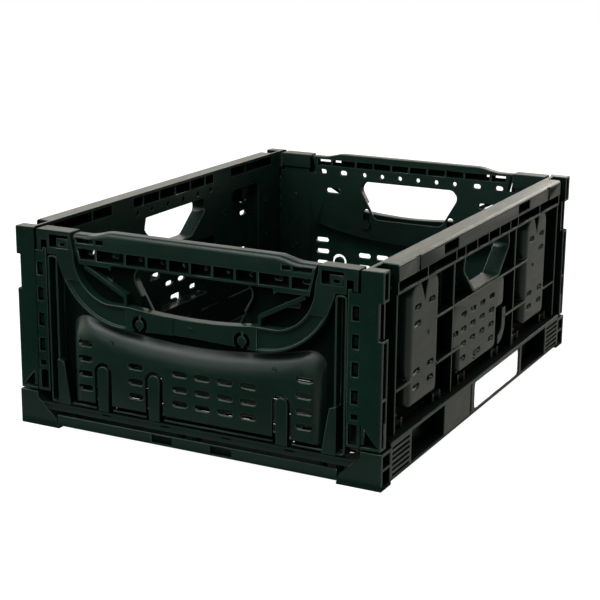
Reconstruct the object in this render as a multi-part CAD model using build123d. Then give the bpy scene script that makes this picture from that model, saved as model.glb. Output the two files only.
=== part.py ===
"""Folding harvest crate: base tray, two long walls, two end walls, two lock handles with springs, a label.

Millimetres, +Z up, the origin on the floor under the middle of the crate. The long side runs along Y.
A place on an end wall is given as across (X), inset (from the end of the crate inward) and height (Z).
A place on a long wall is given as along (Y), inset (from the side of the crate inward) and height (Z).
"""

import os

from build123d import *

# Overall sizes
CRATE_LENGTH = 400.0
CRATE_WIDTH = 300.0
CRATE_HEIGHT = 153.5
SIDE_DEPTH = 16.0
SKIN = 2.5
RIB = 2.0
GAP = 0.5
OVERLAP = 1.0

# Base tray
FLOOR_TOP = 8.0
FLOOR_RIB_PITCH = 78.0
RAIL_BOTTOM = 2.5
RAIL_TOP = 31.0
POCKET_INSET = 52.0
POCKET_LENGTH = 62.0
POCKET_BOTTOM = 4.5
POCKET_TOP = 28.0
LOUVRE_INSET = 18.5
LOUVRE_LENGTH = 30.0
LOUVRE_COUNT = 6
LOUVRE_PITCH = 3.9
LOUVRE_HEIGHT = 1.9
LOUVRE_BOTTOM = 5.0
BASE_END_TOP = 11.0
END_SLOT_PLACE = 24.8
END_SLOT_LENGTH = 17.5
END_SLOT_BOTTOM = 4.0
END_SLOT_TOP = 9.8
LIP_BOTTOM = 13.5
LIP_TOP = 19.6
LIP_INSET = 1.0
LIP_DEPTH = 2.7
LIP_RECESS = 1.2
LIP_FLANGE = 1.6
LIP_MARK_COUNT = 4
LIP_MARK_PITCH = 50.8
LIP_MARK_SHIFT = 2.7
LIP_MARK_LENGTH = 7.5
LIP_MARK_BOTTOM = 16.4
LIP_MARK_TOP = 17.7
FOOT_LENGTH = 34.5
FOOT_TOP = 27.0
FOOT_FLAT = 11.0
FOOT_TOE = 7.0
FOOT_TOE_LEAN = 2.0
FOOT_DEPTH = 7.8
CORNER_DEPTH = 17.0
CORNER_SHELF = 13.8
VENT_LENGTH = 24.0
VENT_WIDTH = 6.0
VENT_PITCH_ACROSS = 33.0
VENT_PITCH_ALONG = 26.0
VENT_COLUMNS = 7
VENT_ROWS = 13

# Label on the near long rail and the grooves beside its place
LABEL_INSET = 9.5
LABEL_LENGTH = 100.5
LABEL_BOTTOM = 6.0
LABEL_TOP = 27.5
LABEL_RADIUS = 3.5
LABEL_THICK = 0.3
LABEL_RECESS = 0.5
GROOVE_WIDTH = 3.5
GROOVE_DEPTH = 1.3
GROOVE_BEFORE = 9.0
GROOVE_AFTER = 1.2

# Hinges of both kinds of wall
BARREL_RADIUS = 3.0
BARREL_LENGTH = 9.0
PIN_RADIUS = 2.0
PIN_LENGTH = 2.6
PIN_CLEARANCE = 0.1
EAR_THICK = 3.0
EAR_GAP = 0.4

# End wall: web, hinge arms, fingers and fins
END_FACE = 1.0
END_WEB = 8.7
END_WEB_PLAY = 1.0
END_WEB_BOTTOM = 12.5
END_AXIS_INSET = 7.5
END_AXIS_HEIGHT = 15.0
END_ARM_TOP = 24.0
END_ARM_BACK = 2.0
END_HINGE_MIDDLE = -5.0
FINGER_PLACES = (-75.0, -31.0, 73.0)
FINGER_WIDTH = 9.5
FINGER_TOP = 55.0
FINGER_FACE = 0.6
FINGER_THICK = 4.0
FINGER_MARGIN = 2.6
FIN_INSET = 3.5
FIN_FOOT_WIDTH = 11.5
FIN_TOP_WIDTH = 5.5
CHANNEL_WIDTH = 8.8
CHANNEL_PLAY = 0.7
CHANNEL_BOTTOM = 20.5
CHANNEL_ROUND = 3.0
CHANNEL_RIB = 1.5
LUG_WIDTH = 3.0
LUG_HEIGHT = 6.0
LUG_FACE = 1.6

# End wall: rail along the top
END_RAIL_DROP = 1.5
RAIL_BAND = 10.0
CELL_HEIGHT = 8.0
CELL_PITCH = 18.0
CELL_COUNT = 4
END_CELL = 17.4
CELL_HOLE_RADIUS = 2.0
CELL_SLOT_LENGTH = 7.0
CELL_SLOT_HEIGHT = 4.5
RAIL_TOP_LEAN = 1.9
RAIL_MIDDLE_LEAN = 4.1
RAIL_FOOT_LEAN = 6.5
HUMP_RISE = 3.6
HUMP_INSET = 12.5
HUMP_RUN = 22.0
HUMP_ROUND = 3.5
BAND_WINDOW_LENGTH = 14.5
BAND_WINDOW_SMALL = 6.5
END_CELL_WALL = 1.5
BAND_WINDOW_HEIGHT = 3.5
SHELF_DROP = 2.0
SHELF_LENGTH = 28.0
SHELF_CLIP = 1.6
HAND_TOP_HALF = 53.0
HAND_FOOT_HALF = 33.0
HAND_DROP = 6.5
HAND_ROUND = 7.5
HAND_COLLAR_FACE = 4.6
WEB_SLOT_LENGTH = 15.0
WEB_SLOT_HEIGHT = 4.5
WEB_SLOT_INSET = 17.5
WEB_SLOT_DROP = 9.5

# End wall: bulged lower panel
BULGE_MARGIN = 5.5
BULGE_BOTTOM = 23.5
BULGE_SIDE_RISE = 7.0
BULGE_MIDDLE_DROP = 7.5
BULGE_ROUND = 10.0
BULGE_ROUND_SHARE = 0.6
BULGE_SIDE_SHARE = 0.55
BULGE_FOOT_SHARE = 0.12
BULGE_STEPS = (
    (0.0, 0.0), (0.9, 1.3), (2.2, 2.8), (3.8, 4.7),
    (5.3, 7.2), (6.5, 10.2), (7.3, 13.6), (7.7, 17.5),
)
BULGE_COLUMN_PLACES = (-46.6, -9.3, 9.3, 28.0, 46.6)
BULGE_ROW_PLACES = (59.0, 47.5, 36.5)
BULGE_SIDE_COLUMN = 13.5
BULGE_SIDE_ROW_PLACES = (70.5, 59.0, 47.5, 36.5)
BULGE_SLOT_LENGTH = 12.5
BULGE_SLOT_HEIGHT = 4.5
FOOT_RIB_BOTTOM = 20.8
FOOT_RIB_TOP = 22.4
FOOT_RIB_FACE = 2.0

# Lock handle: end blocks and latch tabs
HANDLE_FACE = 0.3
HANDLE_DEPTH = 8.0
HANDLE_BAND_FACE = 2.5
HANDLE_LIFT = 7.0
BLOCK_DROP = 0.5
BLOCK_HEIGHT = 18.2
BLOCK_LENGTH = 21.1
BLOCK_PLAY = 0.9
BLOCK_WINDOW_FLOOR = 12.5
BLOCK_WINDOW_ROOF = 3.2
BLOCK_WALL = 2.3
NUT_LENGTH = 10.0
NUT_HEIGHT = 6.8
NUT_SHIFT = 2.0
NUT_FACE = 2.2
NUT_HOLE_LENGTH = 4.5
NUT_HOLE_HEIGHT = 2.2
SADDLE_DROP = 4.0
SADDLE_HEIGHT = 8.5
TAB_HEIGHT = 15.5
TAB_GAP = 2.3
TAB_NOTCH = 5.0
TAB_NOTCH_RISE = 6.0

# Lock handle: grip and arms
GRIP_HALF = 54.0
GRIP_DROP = 50.0
GRIP_HEIGHT = 17.5
GRIP_SAG = 3.2
GRIP_RISE = 1.6
GRIP_END = 4.0
GRIP_PATCH = 14.0
GRIP_PATCH_DEPTH = 0.4
ARM_DROP = 15.0
ARM_TOP_STEP = 2.5
ARM_CURVE_INSET = 14.0
ARM_CURVE_RISE = 8.0
ARM_FOOT = 30.0
ARM_OUTER_STEP = 12.5
ARM_OUTER_DROP = 20.0
ARM_ELBOW = 6.5
ARM_ELBOW_RISE = 14.0
ARM_BELLY = 20.5
ARM_BELLY_RISE = 5.2
ARM_PROUD_RISE = 14.0
ARM_BEAD = 1.8
BOSS_PLACE = 42.0
BOSS_RISE = 5.5
BOSS_RADIUS = 6.5
BOSS_CORE = 3.6
BOSS_BRIDGE = 1.8
BOSS_DEPTH = 5.0
STUD_RADIUS = 2.8
STUD_PLAY = 0.3
STUD_ENTRY = 4.5
STUD_HEAD_RADIUS = 4.6
STUD_HEAD_THICK = 1.2
SPRING_THICK = 2.4
SPRING_ROOT_INSET = -1.0
SPRING_BEND_RISE = 7.0
SPRING_BEND_ROUND = 1.0
SPRING_TIP_INSET = 4.5
SPRING_TIP_GAP = 0.3
SPRING_FACE = 2.2
SPRING_WIDTH = 5.4

# Long wall: rim
POST_FACE = 1.3
RIM_FACE = 1.4
RIM_FLANGE_FACE = 2.0
RIM_ROUND = 2.4
RIM_INSET = 25.4
RIM_BAND = 12.2
RIM_CELL_HEIGHT = 7.3
RIM_RIB_PITCH = 24.7
RIM_NOTCH_LENGTH = 27.6
RIM_NOTCH_BEFORE = 1.8
RIM_NOTCH_HEIGHT = 7.5
RIM_NOTCH_ROOF = 2.4
RIM_GROOVE_INSET = 63.0
RIM_GROOVE_WIDTH = 8.0
RIM_GROOVE_DEPTH = 0.7

# Long wall: web, pods and middle panel
SIDE_WEB = 13.5
SIDE_BOTTOM = 32.0
POD_FACE = 3.5
POD_INNER = 94.5
POD_INSET = 50.5
POD_BOTTOM = 43.0
POD_ROUND = 9.0
PAD_STEPS = ((0.0, 0.0), (6.4, 0.5), (8.2, 1.3), (9.3, 2.5), (9.8, 4.0), (10.0, 6.0))
PAD_RISE_SHARE = 0.4
PAD_FOOT_ROUND = 4.0
PANEL_SOFTNESS = 0.4
PANEL_ROUND = 5.5
POD_SLOT_SPREAD = 12.8
POD_SLOT_DROP = 17.5
POD_SLOT_STEP = 12.1
POD_SLOT_LOW = 67.5
POD_SLOT_LOWER = 56.0
SIDE_SLOT_LENGTH = 11.5
SIDE_SLOT_HEIGHT = 4.0
NOTCH_BEFORE = 9.0
NOTCH_AFTER = 4.6
NOTCH_HEIGHT = 15.0
NOTCH_DEPTH = 6.5
PANEL_START = -53.5
PANEL_END = 44.4
PANEL_STEP = 28.5
PANEL_STEP_HEIGHT = 74.5
PANEL_COLUMN_PLACES = (-43.9, -24.4, -4.2, 16.9)
PANEL_SIDE_SLOT = 5.2
PANEL_SIDE_ROW = 2
PANEL_ROWS = 4
PANEL_FIRST_ROW = 0.8
KEYHOLE_PLACE = -14.2
KEYHOLE_LENGTH = 16.0
KEYHOLE_HEIGHT = 4.2
KEYHOLE_RADIUS = 2.9
KEYHOLE_LIFT = 7.0
HOOK_PLACE = 45.2
HOOK_WIDTH = 7.5
HOOK_FACE = 3.2
HOOK_TOP = 71.0
HOOK_TURN = 58.5
HOOK_BOTTOM = 46.5
HOOK_REACH = 12.5
HOOK_BEND = 0.29
BAY_RIB_PLACE = 67.6
BAY_RIB_FACE = 3.3
BAY_SHELF_FACE = 2.9
BAY_SHELF_LOW = 63.5
BAY_WEDGE = 13.0
WINDOW_HEIGHT = 29.5
WINDOW_TOP_HALF = 46.5
WINDOW_TIP_HALF = 49.5
WINDOW_TIP_DROP = 10.5
WINDOW_FOOT_HALF = 26.0
WINDOW_ROUND = 6.0
WINDOW_SILL = 4.0
COLLAR_FACE = 2.6

# Long wall: hinges and corner posts
SIDE_HINGE_MIDDLE = 37.0
SIDE_HINGE_INNER = 7.5
SIDE_HINGE_INSET = 42.0
SIDE_AXIS_INSET = 9.8
SIDE_AXIS_HEIGHT = 35.0
SIDE_ARM_TOP = 41.0
POST_WIDTH = 17.7
POST_DEPTH = 10.0
POST_BOTTOM = 28.5
POST_CUT_INNER = 45.5
POST_CUT_STEP = 1.5
POST_CUT_BACK = 5.5
POST_SHELF_LOW = 64.0
POST_RECESS_DROP = 20.5
POST_RECESS_HEIGHT = 28.0
POST_RECESS = 3.0
POST_CHANNEL_DROPS = (6.5, 16.5, 86.5)
STRIP_WIDTH = 9.8
STRIP_FACE = 0.4
STRIP_HOLE_WIDTH = 5.0
STRIP_HOLE_HEIGHT = 10.0
STRIP_HOLE_INSET = 3.9
STRIP_HOLE_COUNT = 4
STRIP_HOLE_PITCH = 19.5
STRIP_HOLE_DROP = 14.0
STRIP_FOOT_HOLE = 50.5
STRIP_FOOT_HOLE_HEIGHT = 4.0
STRIP_WINDOW_BOTTOM = 30.5
STRIP_WINDOW_TOP = 45.0
STRIP_WINDOW_WIDTH = 6.6
NIB_HEIGHT = 2.2
NIB_WIDTH = 3.0

# Places on the base that follow from the sizes above
half_width = CRATE_WIDTH / 2
half_length = CRATE_LENGTH / 2
pocket_end = half_length - POCKET_INSET
pocket_start = pocket_end - POCKET_LENGTH
louvre_end = half_length - LOUVRE_INSET
louvre_start = louvre_end - LOUVRE_LENGTH
label_end = pocket_start - LABEL_INSET
label_start = label_end - LABEL_LENGTH
foot_inner = half_width - FOOT_LENGTH
ear_reach = BARREL_LENGTH / 2 + EAR_GAP + EAR_THICK

# Places on the end wall and its handle
end_inner = END_WEB + SKIN
end_web_half = half_width - SIDE_DEPTH - END_WEB_PLAY
post_inner = half_width - POST_WIDTH
strip_inner = post_inner - STRIP_WIDTH
hole_place = post_inner - STRIP_HOLE_INSET
block_outer = strip_inner - BLOCK_PLAY
block_inner = block_outer - BLOCK_LENGTH
channel_outer = strip_inner - CHANNEL_PLAY
channel_inner = channel_outer - CHANNEL_WIDTH
fin_place = channel_inner - FIN_INSET
bulge_half = fin_place - BULGE_MARGIN
end_hinges = (-fin_place, END_HINGE_MIDDLE, fin_place)
rail_end_top = block_inner - RAIL_TOP_LEAN
rail_end_middle = block_inner - RAIL_MIDDLE_LEAN
rail_end_foot = block_inner - RAIL_FOOT_LEAN
hump_foot = block_inner - HUMP_INSET
hump_flat = hump_foot - HUMP_RUN
shelf_start = rail_end_foot - SHELF_LENGTH
end_rail_top = CRATE_HEIGHT - END_RAIL_DROP
cell_top = end_rail_top - RAIL_BAND
cell_bottom = cell_top - CELL_HEIGHT
cell_flange = cell_bottom - RIB
shelf_bottom = cell_flange - SHELF_DROP
grip_top = CRATE_HEIGHT - GRIP_DROP
grip_bottom = grip_top - GRIP_HEIGHT
hand_bottom = grip_top - HAND_DROP
boss_height = grip_bottom + BOSS_RISE
block_top = CRATE_HEIGHT - BLOCK_DROP
block_bottom = block_top - BLOCK_HEIGHT
window_floor = block_top - BLOCK_WINDOW_FLOOR
window_roof = block_top - BLOCK_WINDOW_ROOF
saddle_top = block_top - SADDLE_DROP
tab_bottom = block_top - TAB_HEIGHT
strip_top = tab_bottom - GAP
strip_first = strip_top - STRIP_HOLE_DROP
strip_holes = [strip_first - number * STRIP_HOLE_PITCH for number in range(STRIP_HOLE_COUNT)]
channel_top = block_bottom - BLOCK_PLAY

# Places on the long wall
rim_end = half_length - RIM_INSET
rim_cell_top = CRATE_HEIGHT - RIM_BAND
rim_cell_bottom = rim_cell_top - RIM_CELL_HEIGHT
rim_flange = rim_cell_bottom - RIB
rim_notch_start = BAY_RIB_PLACE - RIM_NOTCH_BEFORE
rim_notch_end = rim_notch_start + RIM_NOTCH_LENGTH
rim_notch_top = CRATE_HEIGHT - RIM_NOTCH_ROOF
pod_outer = half_length - POD_INSET
pod_middle = (POD_INNER + pod_outer) / 2
window_bottom = rim_flange - WINDOW_HEIGHT
panel_top = window_bottom - WINDOW_SILL
right_hinges = (SIDE_HINGE_MIDDLE, POD_INNER - SIDE_HINGE_INNER, half_length - SIDE_HINGE_INSET)
side_hinges = right_hinges + tuple(-place for place in right_hinges)


def block(x0, x1, y0, y1, z0, z1):
    """Box between two corners."""
    middle = Pos((x0 + x1) / 2, (y0 + y1) / 2, (z0 + z1) / 2)
    return middle * Box(abs(x1 - x0), abs(y1 - y0), abs(z1 - z0))


def end_block(u0, u1, w0, w1, z0, z1):
    """Box in the near end wall: across, inset, height."""
    return block(u0, u1, w0 - half_length, w1 - half_length, z0, z1)


def side_block(s0, s1, d0, d1, z0, z1):
    """Box in the right long wall: along, inset, height."""
    return block(half_width - d1, half_width - d0, s0, s1, z0, z1)


def end_prism(sketch, w0, w1):
    """Outline drawn across and up, given thickness from inset w0 to inset w1 of the near end."""
    return extrude(Plane.XZ.offset(half_length - w1) * sketch, w1 - w0, dir=(0, -1, 0))


def side_prism(sketch, d0, d1):
    """Outline drawn along and up, given thickness from inset d0 to inset d1 of the right side."""
    return extrude(Plane.YZ.offset(half_width - d1) * sketch, d1 - d0, dir=(1, 0, 0))


def both_across(shapes):
    """The shapes and their mirror images over the middle plane of the end wall."""
    return shapes + [mirror(shape, about=Plane.YZ) for shape in shapes]


def both_along(shapes):
    """The shapes and their mirror images over the middle plane of the long wall."""
    return shapes + [mirror(shape, about=Plane.XZ) for shape in shapes]


def rod_across(u0, u1, w, z, radius):
    """Round rod along X in the near end."""
    turned = Pos((u0 + u1) / 2, w - half_length, z) * Rot(0, 90, 0)
    return turned * Cylinder(radius, u1 - u0)


def rod_along(s0, s1, d, z, radius):
    """Round rod along Y in the right side."""
    turned = Pos(half_width - d, (s0 + s1) / 2, z) * Rot(90, 0, 0)
    return turned * Cylinder(radius, s1 - s0)


def turned_round(shape):
    """The same moulding at the other end or side of the crate."""
    return Rot(0, 0, 180) * shape


def slot_outline(place, z, length, height):
    """Outline of one rounded slot."""
    return Pos(place, z) * SlotOverall(length, height)


def hand_outline(top_half, foot_half, bottom, top, radius):
    """Hand opening: a trapezium with rounded corners."""
    shape = Polygon((-top_half, top), (-foot_half, bottom), (foot_half, bottom), (top_half, top), align=None)
    return fillet(shape.vertices(), radius)


def window_outline(wall):
    """Hand opening of the long wall, made wider by the wall around it."""
    tip = rim_flange - WINDOW_TIP_DROP
    right = [
        (WINDOW_FOOT_HALF + wall, window_bottom - wall),
        (WINDOW_TIP_HALF + wall, tip),
        (WINDOW_TOP_HALF + wall, rim_flange + wall),
    ]
    left = [(-place, z) for place, z in reversed(right)]
    shape = Polygon(*right, *left, align=None)
    return fillet(shape.vertices().sort_by(Axis.Y)[:4], WINDOW_ROUND + wall)


def pillow(outline, steps, face_plane):
    """Bulged pad: outlines drawn smaller and smaller as they stand further out of the web."""
    sections = [face_plane(height) * outline(inset) for height, inset in steps]
    return loft([section.face() for section in sections], ruled=True)


def foot_outline():
    """Front of the right corner foot with its slanted top."""
    return Polygon(
        (half_width, 0),
        (half_width, FOOT_TOP),
        (half_width - FOOT_FLAT, FOOT_TOP),
        (foot_inner + FOOT_TOE_LEAN, FOOT_TOE),
        (foot_inner, 0),
        align=None,
    )


def label_outline():
    """Rounded outline of the label on the near rail."""
    middle = Pos((label_start + label_end) / 2, (LABEL_BOTTOM + LABEL_TOP) / 2)
    return middle * RectangleRounded(LABEL_LENGTH, LABEL_TOP - LABEL_BOTTOM, LABEL_RADIUS)


def base_rail():
    """Right long rail of the base: a hollow beam with pockets and louvres, and ears for the long wall."""
    reach = half_length - CORNER_DEPTH + OVERLAP
    solids = [
        side_block(-reach, reach, 0, SKIN, RAIL_BOTTOM, RAIL_TOP),
        side_block(-reach, reach, SIDE_DEPTH - SKIN, SIDE_DEPTH, FLOOR_TOP - SKIN, RAIL_TOP),
        side_block(-reach, reach, 0, SIDE_DEPTH, RAIL_TOP - SKIN, RAIL_TOP),
        side_block(-RIB / 2, RIB / 2, 0, SIDE_DEPTH, RAIL_BOTTOM, RAIL_TOP),
    ]
    starts = [pocket_start / 3, pocket_start * 2 / 3, pocket_start - RIB, pocket_end, reach - RIB]
    ribs = [side_block(start, start + RIB, 0, SIDE_DEPTH, RAIL_BOTTOM, RAIL_TOP) for start in starts]
    ribs.append(side_block(pocket_start, pocket_end, 0, SIDE_DEPTH, RAIL_BOTTOM, POCKET_BOTTOM))
    solids += both_along(ribs)
    rail = solids[0] + solids[1:]
    cuts = [side_block(pocket_start, pocket_end, -OVERLAP, SKIN + OVERLAP, POCKET_BOTTOM, POCKET_TOP)]
    for number in range(LOUVRE_COUNT):
        z = LOUVRE_BOTTOM + number * LOUVRE_PITCH
        cuts.append(side_block(louvre_start, louvre_end, -OVERLAP, SKIN + OVERLAP, z, z + LOUVRE_HEIGHT))
    rail -= both_along(cuts)
    grooves = []
    for start in (label_start - GROOVE_BEFORE, label_end + GROOVE_AFTER):
        grooves.append(side_block(start, start + GROOVE_WIDTH, -OVERLAP, GROOVE_DEPTH,
                                  POCKET_BOTTOM, POCKET_TOP))
    rail -= grooves
    rail -= side_prism(label_outline(), -OVERLAP, LABEL_RECESS)
    ears = []
    for place in side_hinges:
        for start in (place - ear_reach, place + ear_reach - EAR_THICK):
            ear = side_block(start, start + EAR_THICK, SIDE_AXIS_INSET - BARREL_RADIUS, SIDE_WEB - GAP,
                             RAIL_TOP - OVERLAP, SIDE_AXIS_HEIGHT + BARREL_RADIUS)
            ears.append(ear)
    rail += ears
    bore = PIN_RADIUS + PIN_CLEARANCE
    reach = ear_reach + OVERLAP
    rail -= [rod_along(place - reach, place + reach, SIDE_AXIS_INSET, SIDE_AXIS_HEIGHT, bore)
             for place in side_hinges]
    return rail


def base_end():
    """Near end of the base: low rail, lip, ears for the end wall and the two corner feet."""
    low_half = foot_inner + OVERLAP
    lip_half = half_width - FOOT_LENGTH / 2
    lip_back = LIP_INSET + LIP_DEPTH
    solids = [
        end_block(-low_half, low_half, 0, SKIN, RAIL_BOTTOM, BASE_END_TOP),
        end_block(-low_half, low_half, 0, end_inner, RAIL_BOTTOM, RAIL_BOTTOM + RIB),
        end_block(-lip_half, lip_half, LIP_INSET + LIP_RECESS, lip_back, LIP_BOTTOM, LIP_TOP),
        end_block(-lip_half, lip_half, LIP_INSET, lip_back, LIP_TOP - LIP_FLANGE, LIP_TOP),
    ]
    for place in end_hinges:
        for start in (place - ear_reach, place + ear_reach - EAR_THICK):
            solids.append(end_block(start, start + EAR_THICK, lip_back - GAP, END_AXIS_INSET + BARREL_RADIUS,
                                    FLOOR_TOP - SKIN, END_AXIS_HEIGHT + BARREL_RADIUS))
    corner = end_block(half_width - SIDE_DEPTH, half_width, 0, CORNER_DEPTH, 0, FOOT_TOP)
    foot = end_prism(foot_outline(), 0, FOOT_DEPTH) + corner
    depth = half_width - SIDE_DEPTH + SKIN
    back = CORNER_DEPTH - SKIN
    foot -= [
        end_block(depth, half_width + OVERLAP, SKIN, back, SKIN, CORNER_SHELF),
        end_block(depth, half_width + OVERLAP, SKIN, back, CORNER_SHELF + RIB, FOOT_TOP - SKIN),
    ]
    solids += both_across([foot])
    end = solids[0] + solids[1:]
    cuts = both_across([end_block(END_SLOT_PLACE - END_SLOT_LENGTH / 2, END_SLOT_PLACE + END_SLOT_LENGTH / 2,
                                  -OVERLAP, SKIN + OVERLAP, END_SLOT_BOTTOM, END_SLOT_TOP)])
    for number in range(LIP_MARK_COUNT):
        place = (number - (LIP_MARK_COUNT - 1) / 2) * LIP_MARK_PITCH + LIP_MARK_SHIFT
        cuts.append(end_block(place - LIP_MARK_LENGTH / 2, place + LIP_MARK_LENGTH / 2, LIP_INSET - OVERLAP,
                              lip_back - GAP, LIP_MARK_BOTTOM, LIP_MARK_TOP))
    bore = PIN_RADIUS + PIN_CLEARANCE
    reach = ear_reach + OVERLAP
    cuts += [rod_across(place - reach, place + reach, END_AXIS_INSET, END_AXIS_HEIGHT, bore)
             for place in end_hinges]
    return end - cuts


def base_tray():
    """The whole base in one moulding."""
    inner_x = half_width - SIDE_DEPTH + OVERLAP
    inner_y = half_length - SKIN + OVERLAP
    floor = block(-inner_x, inner_x, -inner_y, inner_y, FLOOR_TOP - SKIN, FLOOR_TOP)
    ribs = []
    for number in range(-2, 3):
        y = number * FLOOR_RIB_PITCH
        ribs.append(block(-inner_x, inner_x, y - RIB / 2, y + RIB / 2, RAIL_BOTTOM, FLOOR_TOP - SKIN))
    floor += ribs
    vents = []
    for row in range(VENT_ROWS):
        for column in range(VENT_COLUMNS):
            x = (column - (VENT_COLUMNS - 1) / 2) * VENT_PITCH_ACROSS
            y = (row - (VENT_ROWS - 1) / 2) * VENT_PITCH_ALONG
            vents.append(Pos(x, y) * SlotOverall(VENT_LENGTH, VENT_WIDTH))
    floor -= extrude(Plane.XY.offset(RAIL_BOTTOM - OVERLAP) * (Sketch() + vents), FLOOR_TOP)
    rail = base_rail()
    end = base_end()
    return floor + [rail, turned_round(rail), end, turned_round(end)]


def bulge_outline(inset, wall):
    """Lower panel of the end wall, with a hollow top edge under the handle."""
    half = bulge_half - BULGE_SIDE_SHARE * inset - wall
    low = BULGE_BOTTOM + BULGE_FOOT_SHARE * inset + wall
    high = grip_bottom + BULGE_SIDE_RISE - inset - wall
    middle = grip_bottom - BULGE_MIDDLE_DROP - inset - wall
    crown = ThreePointArc((half, high), (0, middle), (-half, high))
    sides = Polyline((-half, high), (-half, low), (half, low), (half, high))
    face = make_face([crown, sides])
    corners = face.vertices().sort_by(Axis.Y)[-2:]
    return fillet(corners, BULGE_ROUND + BULGE_ROUND_SHARE * inset)


def bulge_shell():
    """Bulge of the end wall as its outer shape and its hollow, which is open to the inside of the crate."""
    def outer_plane(height):
        return Plane.XZ.offset(half_length - END_WEB + height)

    def inner_plane(height):
        return Plane.XZ.offset(half_length - END_WEB - SKIN + height)

    def outer_outline(inset):
        return bulge_outline(inset, 0)

    def inner_outline(inset):
        return bulge_outline(inset, SKIN)

    outer = pillow(outer_outline, BULGE_STEPS, outer_plane)
    outer += end_prism(outer_outline(0), END_WEB, end_inner)
    return outer, pillow(inner_outline, BULGE_STEPS, inner_plane)


def rail_outline():
    """Front of the end rail: slanted ends and a low hump along the top."""
    crest = end_rail_top + HUMP_RISE
    level = ((-1, 0), (-1, 0))
    edges = [
        Line((rail_end_top, end_rail_top), (hump_foot, end_rail_top)),
        Spline((hump_foot, end_rail_top), (hump_flat, crest), tangents=level),
        Line((hump_flat, crest), (-hump_flat, crest)),
        Spline((-hump_flat, crest), (-hump_foot, end_rail_top), tangents=level),
        Line((-hump_foot, end_rail_top), (-rail_end_top, end_rail_top)),
        Polyline((-rail_end_top, end_rail_top), (-rail_end_middle, cell_top), (-rail_end_foot, cell_flange),
                 (rail_end_foot, cell_flange), (rail_end_middle, cell_top), (rail_end_top, end_rail_top)),
    ]
    return make_face(edges)


def end_rail():
    """Stiff rail along the top of the end wall: pockets outside below, pockets inside above."""
    rail = end_prism(rail_outline(), END_FACE, end_inner)
    front = [edge for edge in rail.edges()
             if edge.center().Y < END_FACE - half_length + GAP and edge.center().Z > end_rail_top - GAP]
    rail = fillet(front, HUMP_ROUND)
    ribs = [number * CELL_PITCH for number in range(CELL_COUNT)] + [rail_end_middle - END_CELL]
    stops = sorted([-place for place in ribs[1:]] + ribs)
    start = ribs[-1] + RIB / 2
    end_cell = Polygon(
        (start, cell_bottom), (rail_end_foot - END_CELL_WALL, cell_bottom),
        (rail_end_middle - END_CELL_WALL, cell_top), (start, cell_top), align=None)
    cuts = both_across([
        end_prism(end_cell, END_FACE - OVERLAP, END_WEB),
        end_block(start, rail_end_middle - RIB - RIB / 2, END_FACE + SKIN, end_inner + OVERLAP,
                  cell_top + RIB, end_rail_top - SKIN),
    ])
    for left, right in zip(stops, stops[1:]):
        cuts.append(end_block(left + RIB / 2, right - RIB / 2, END_FACE - OVERLAP, END_WEB,
                              cell_bottom, cell_top))
        cuts.append(end_block(left + RIB / 2, right - RIB / 2, END_FACE + SKIN, end_inner + OVERLAP,
                              cell_top + RIB, end_rail_top - SKIN))
    middle = (cell_bottom + cell_top) / 2
    openings = [Pos((left + right) / 2, middle) * Circle(CELL_HOLE_RADIUS)
                for left, right in zip(ribs[:-2], ribs[1:])]
    for place in ((ribs[-2] + ribs[-1]) / 2, (ribs[-1] + rail_end_middle) / 2):
        openings.append(slot_outline(place, middle, CELL_SLOT_LENGTH, CELL_SLOT_HEIGHT))
    holes = [end_prism(opening, END_WEB - OVERLAP, end_inner + OVERLAP) for opening in openings]
    large = rail_end_middle - OVERLAP
    small = large - BAND_WINDOW_LENGTH - RIB
    for end, length in ((large, BAND_WINDOW_LENGTH), (small, BAND_WINDOW_SMALL)):
        holes.append(end_block(end - length, end, END_FACE - OVERLAP, END_FACE + SKIN + OVERLAP,
                               end_rail_top - SKIN - BAND_WINDOW_HEIGHT, end_rail_top - SKIN))
    return rail - cuts - both_across(holes)


def hand_collar():
    """Raised edge beside the hand opening of the end wall, above the reach of the lifted handle."""
    frame = hand_outline(HAND_TOP_HALF + RIB, HAND_FOOT_HALF + RIB, hand_bottom - RIB, cell_flange + RIB,
                         HAND_ROUND + RIB)
    keep = Pos(0, (grip_top + HANDLE_LIFT + OVERLAP + cell_bottom) / 2)
    keep *= Rectangle(CRATE_WIDTH, cell_bottom - grip_top - HANDLE_LIFT - OVERLAP)
    return end_prism(frame & keep, HAND_COLLAR_FACE, END_WEB + OVERLAP)


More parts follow.
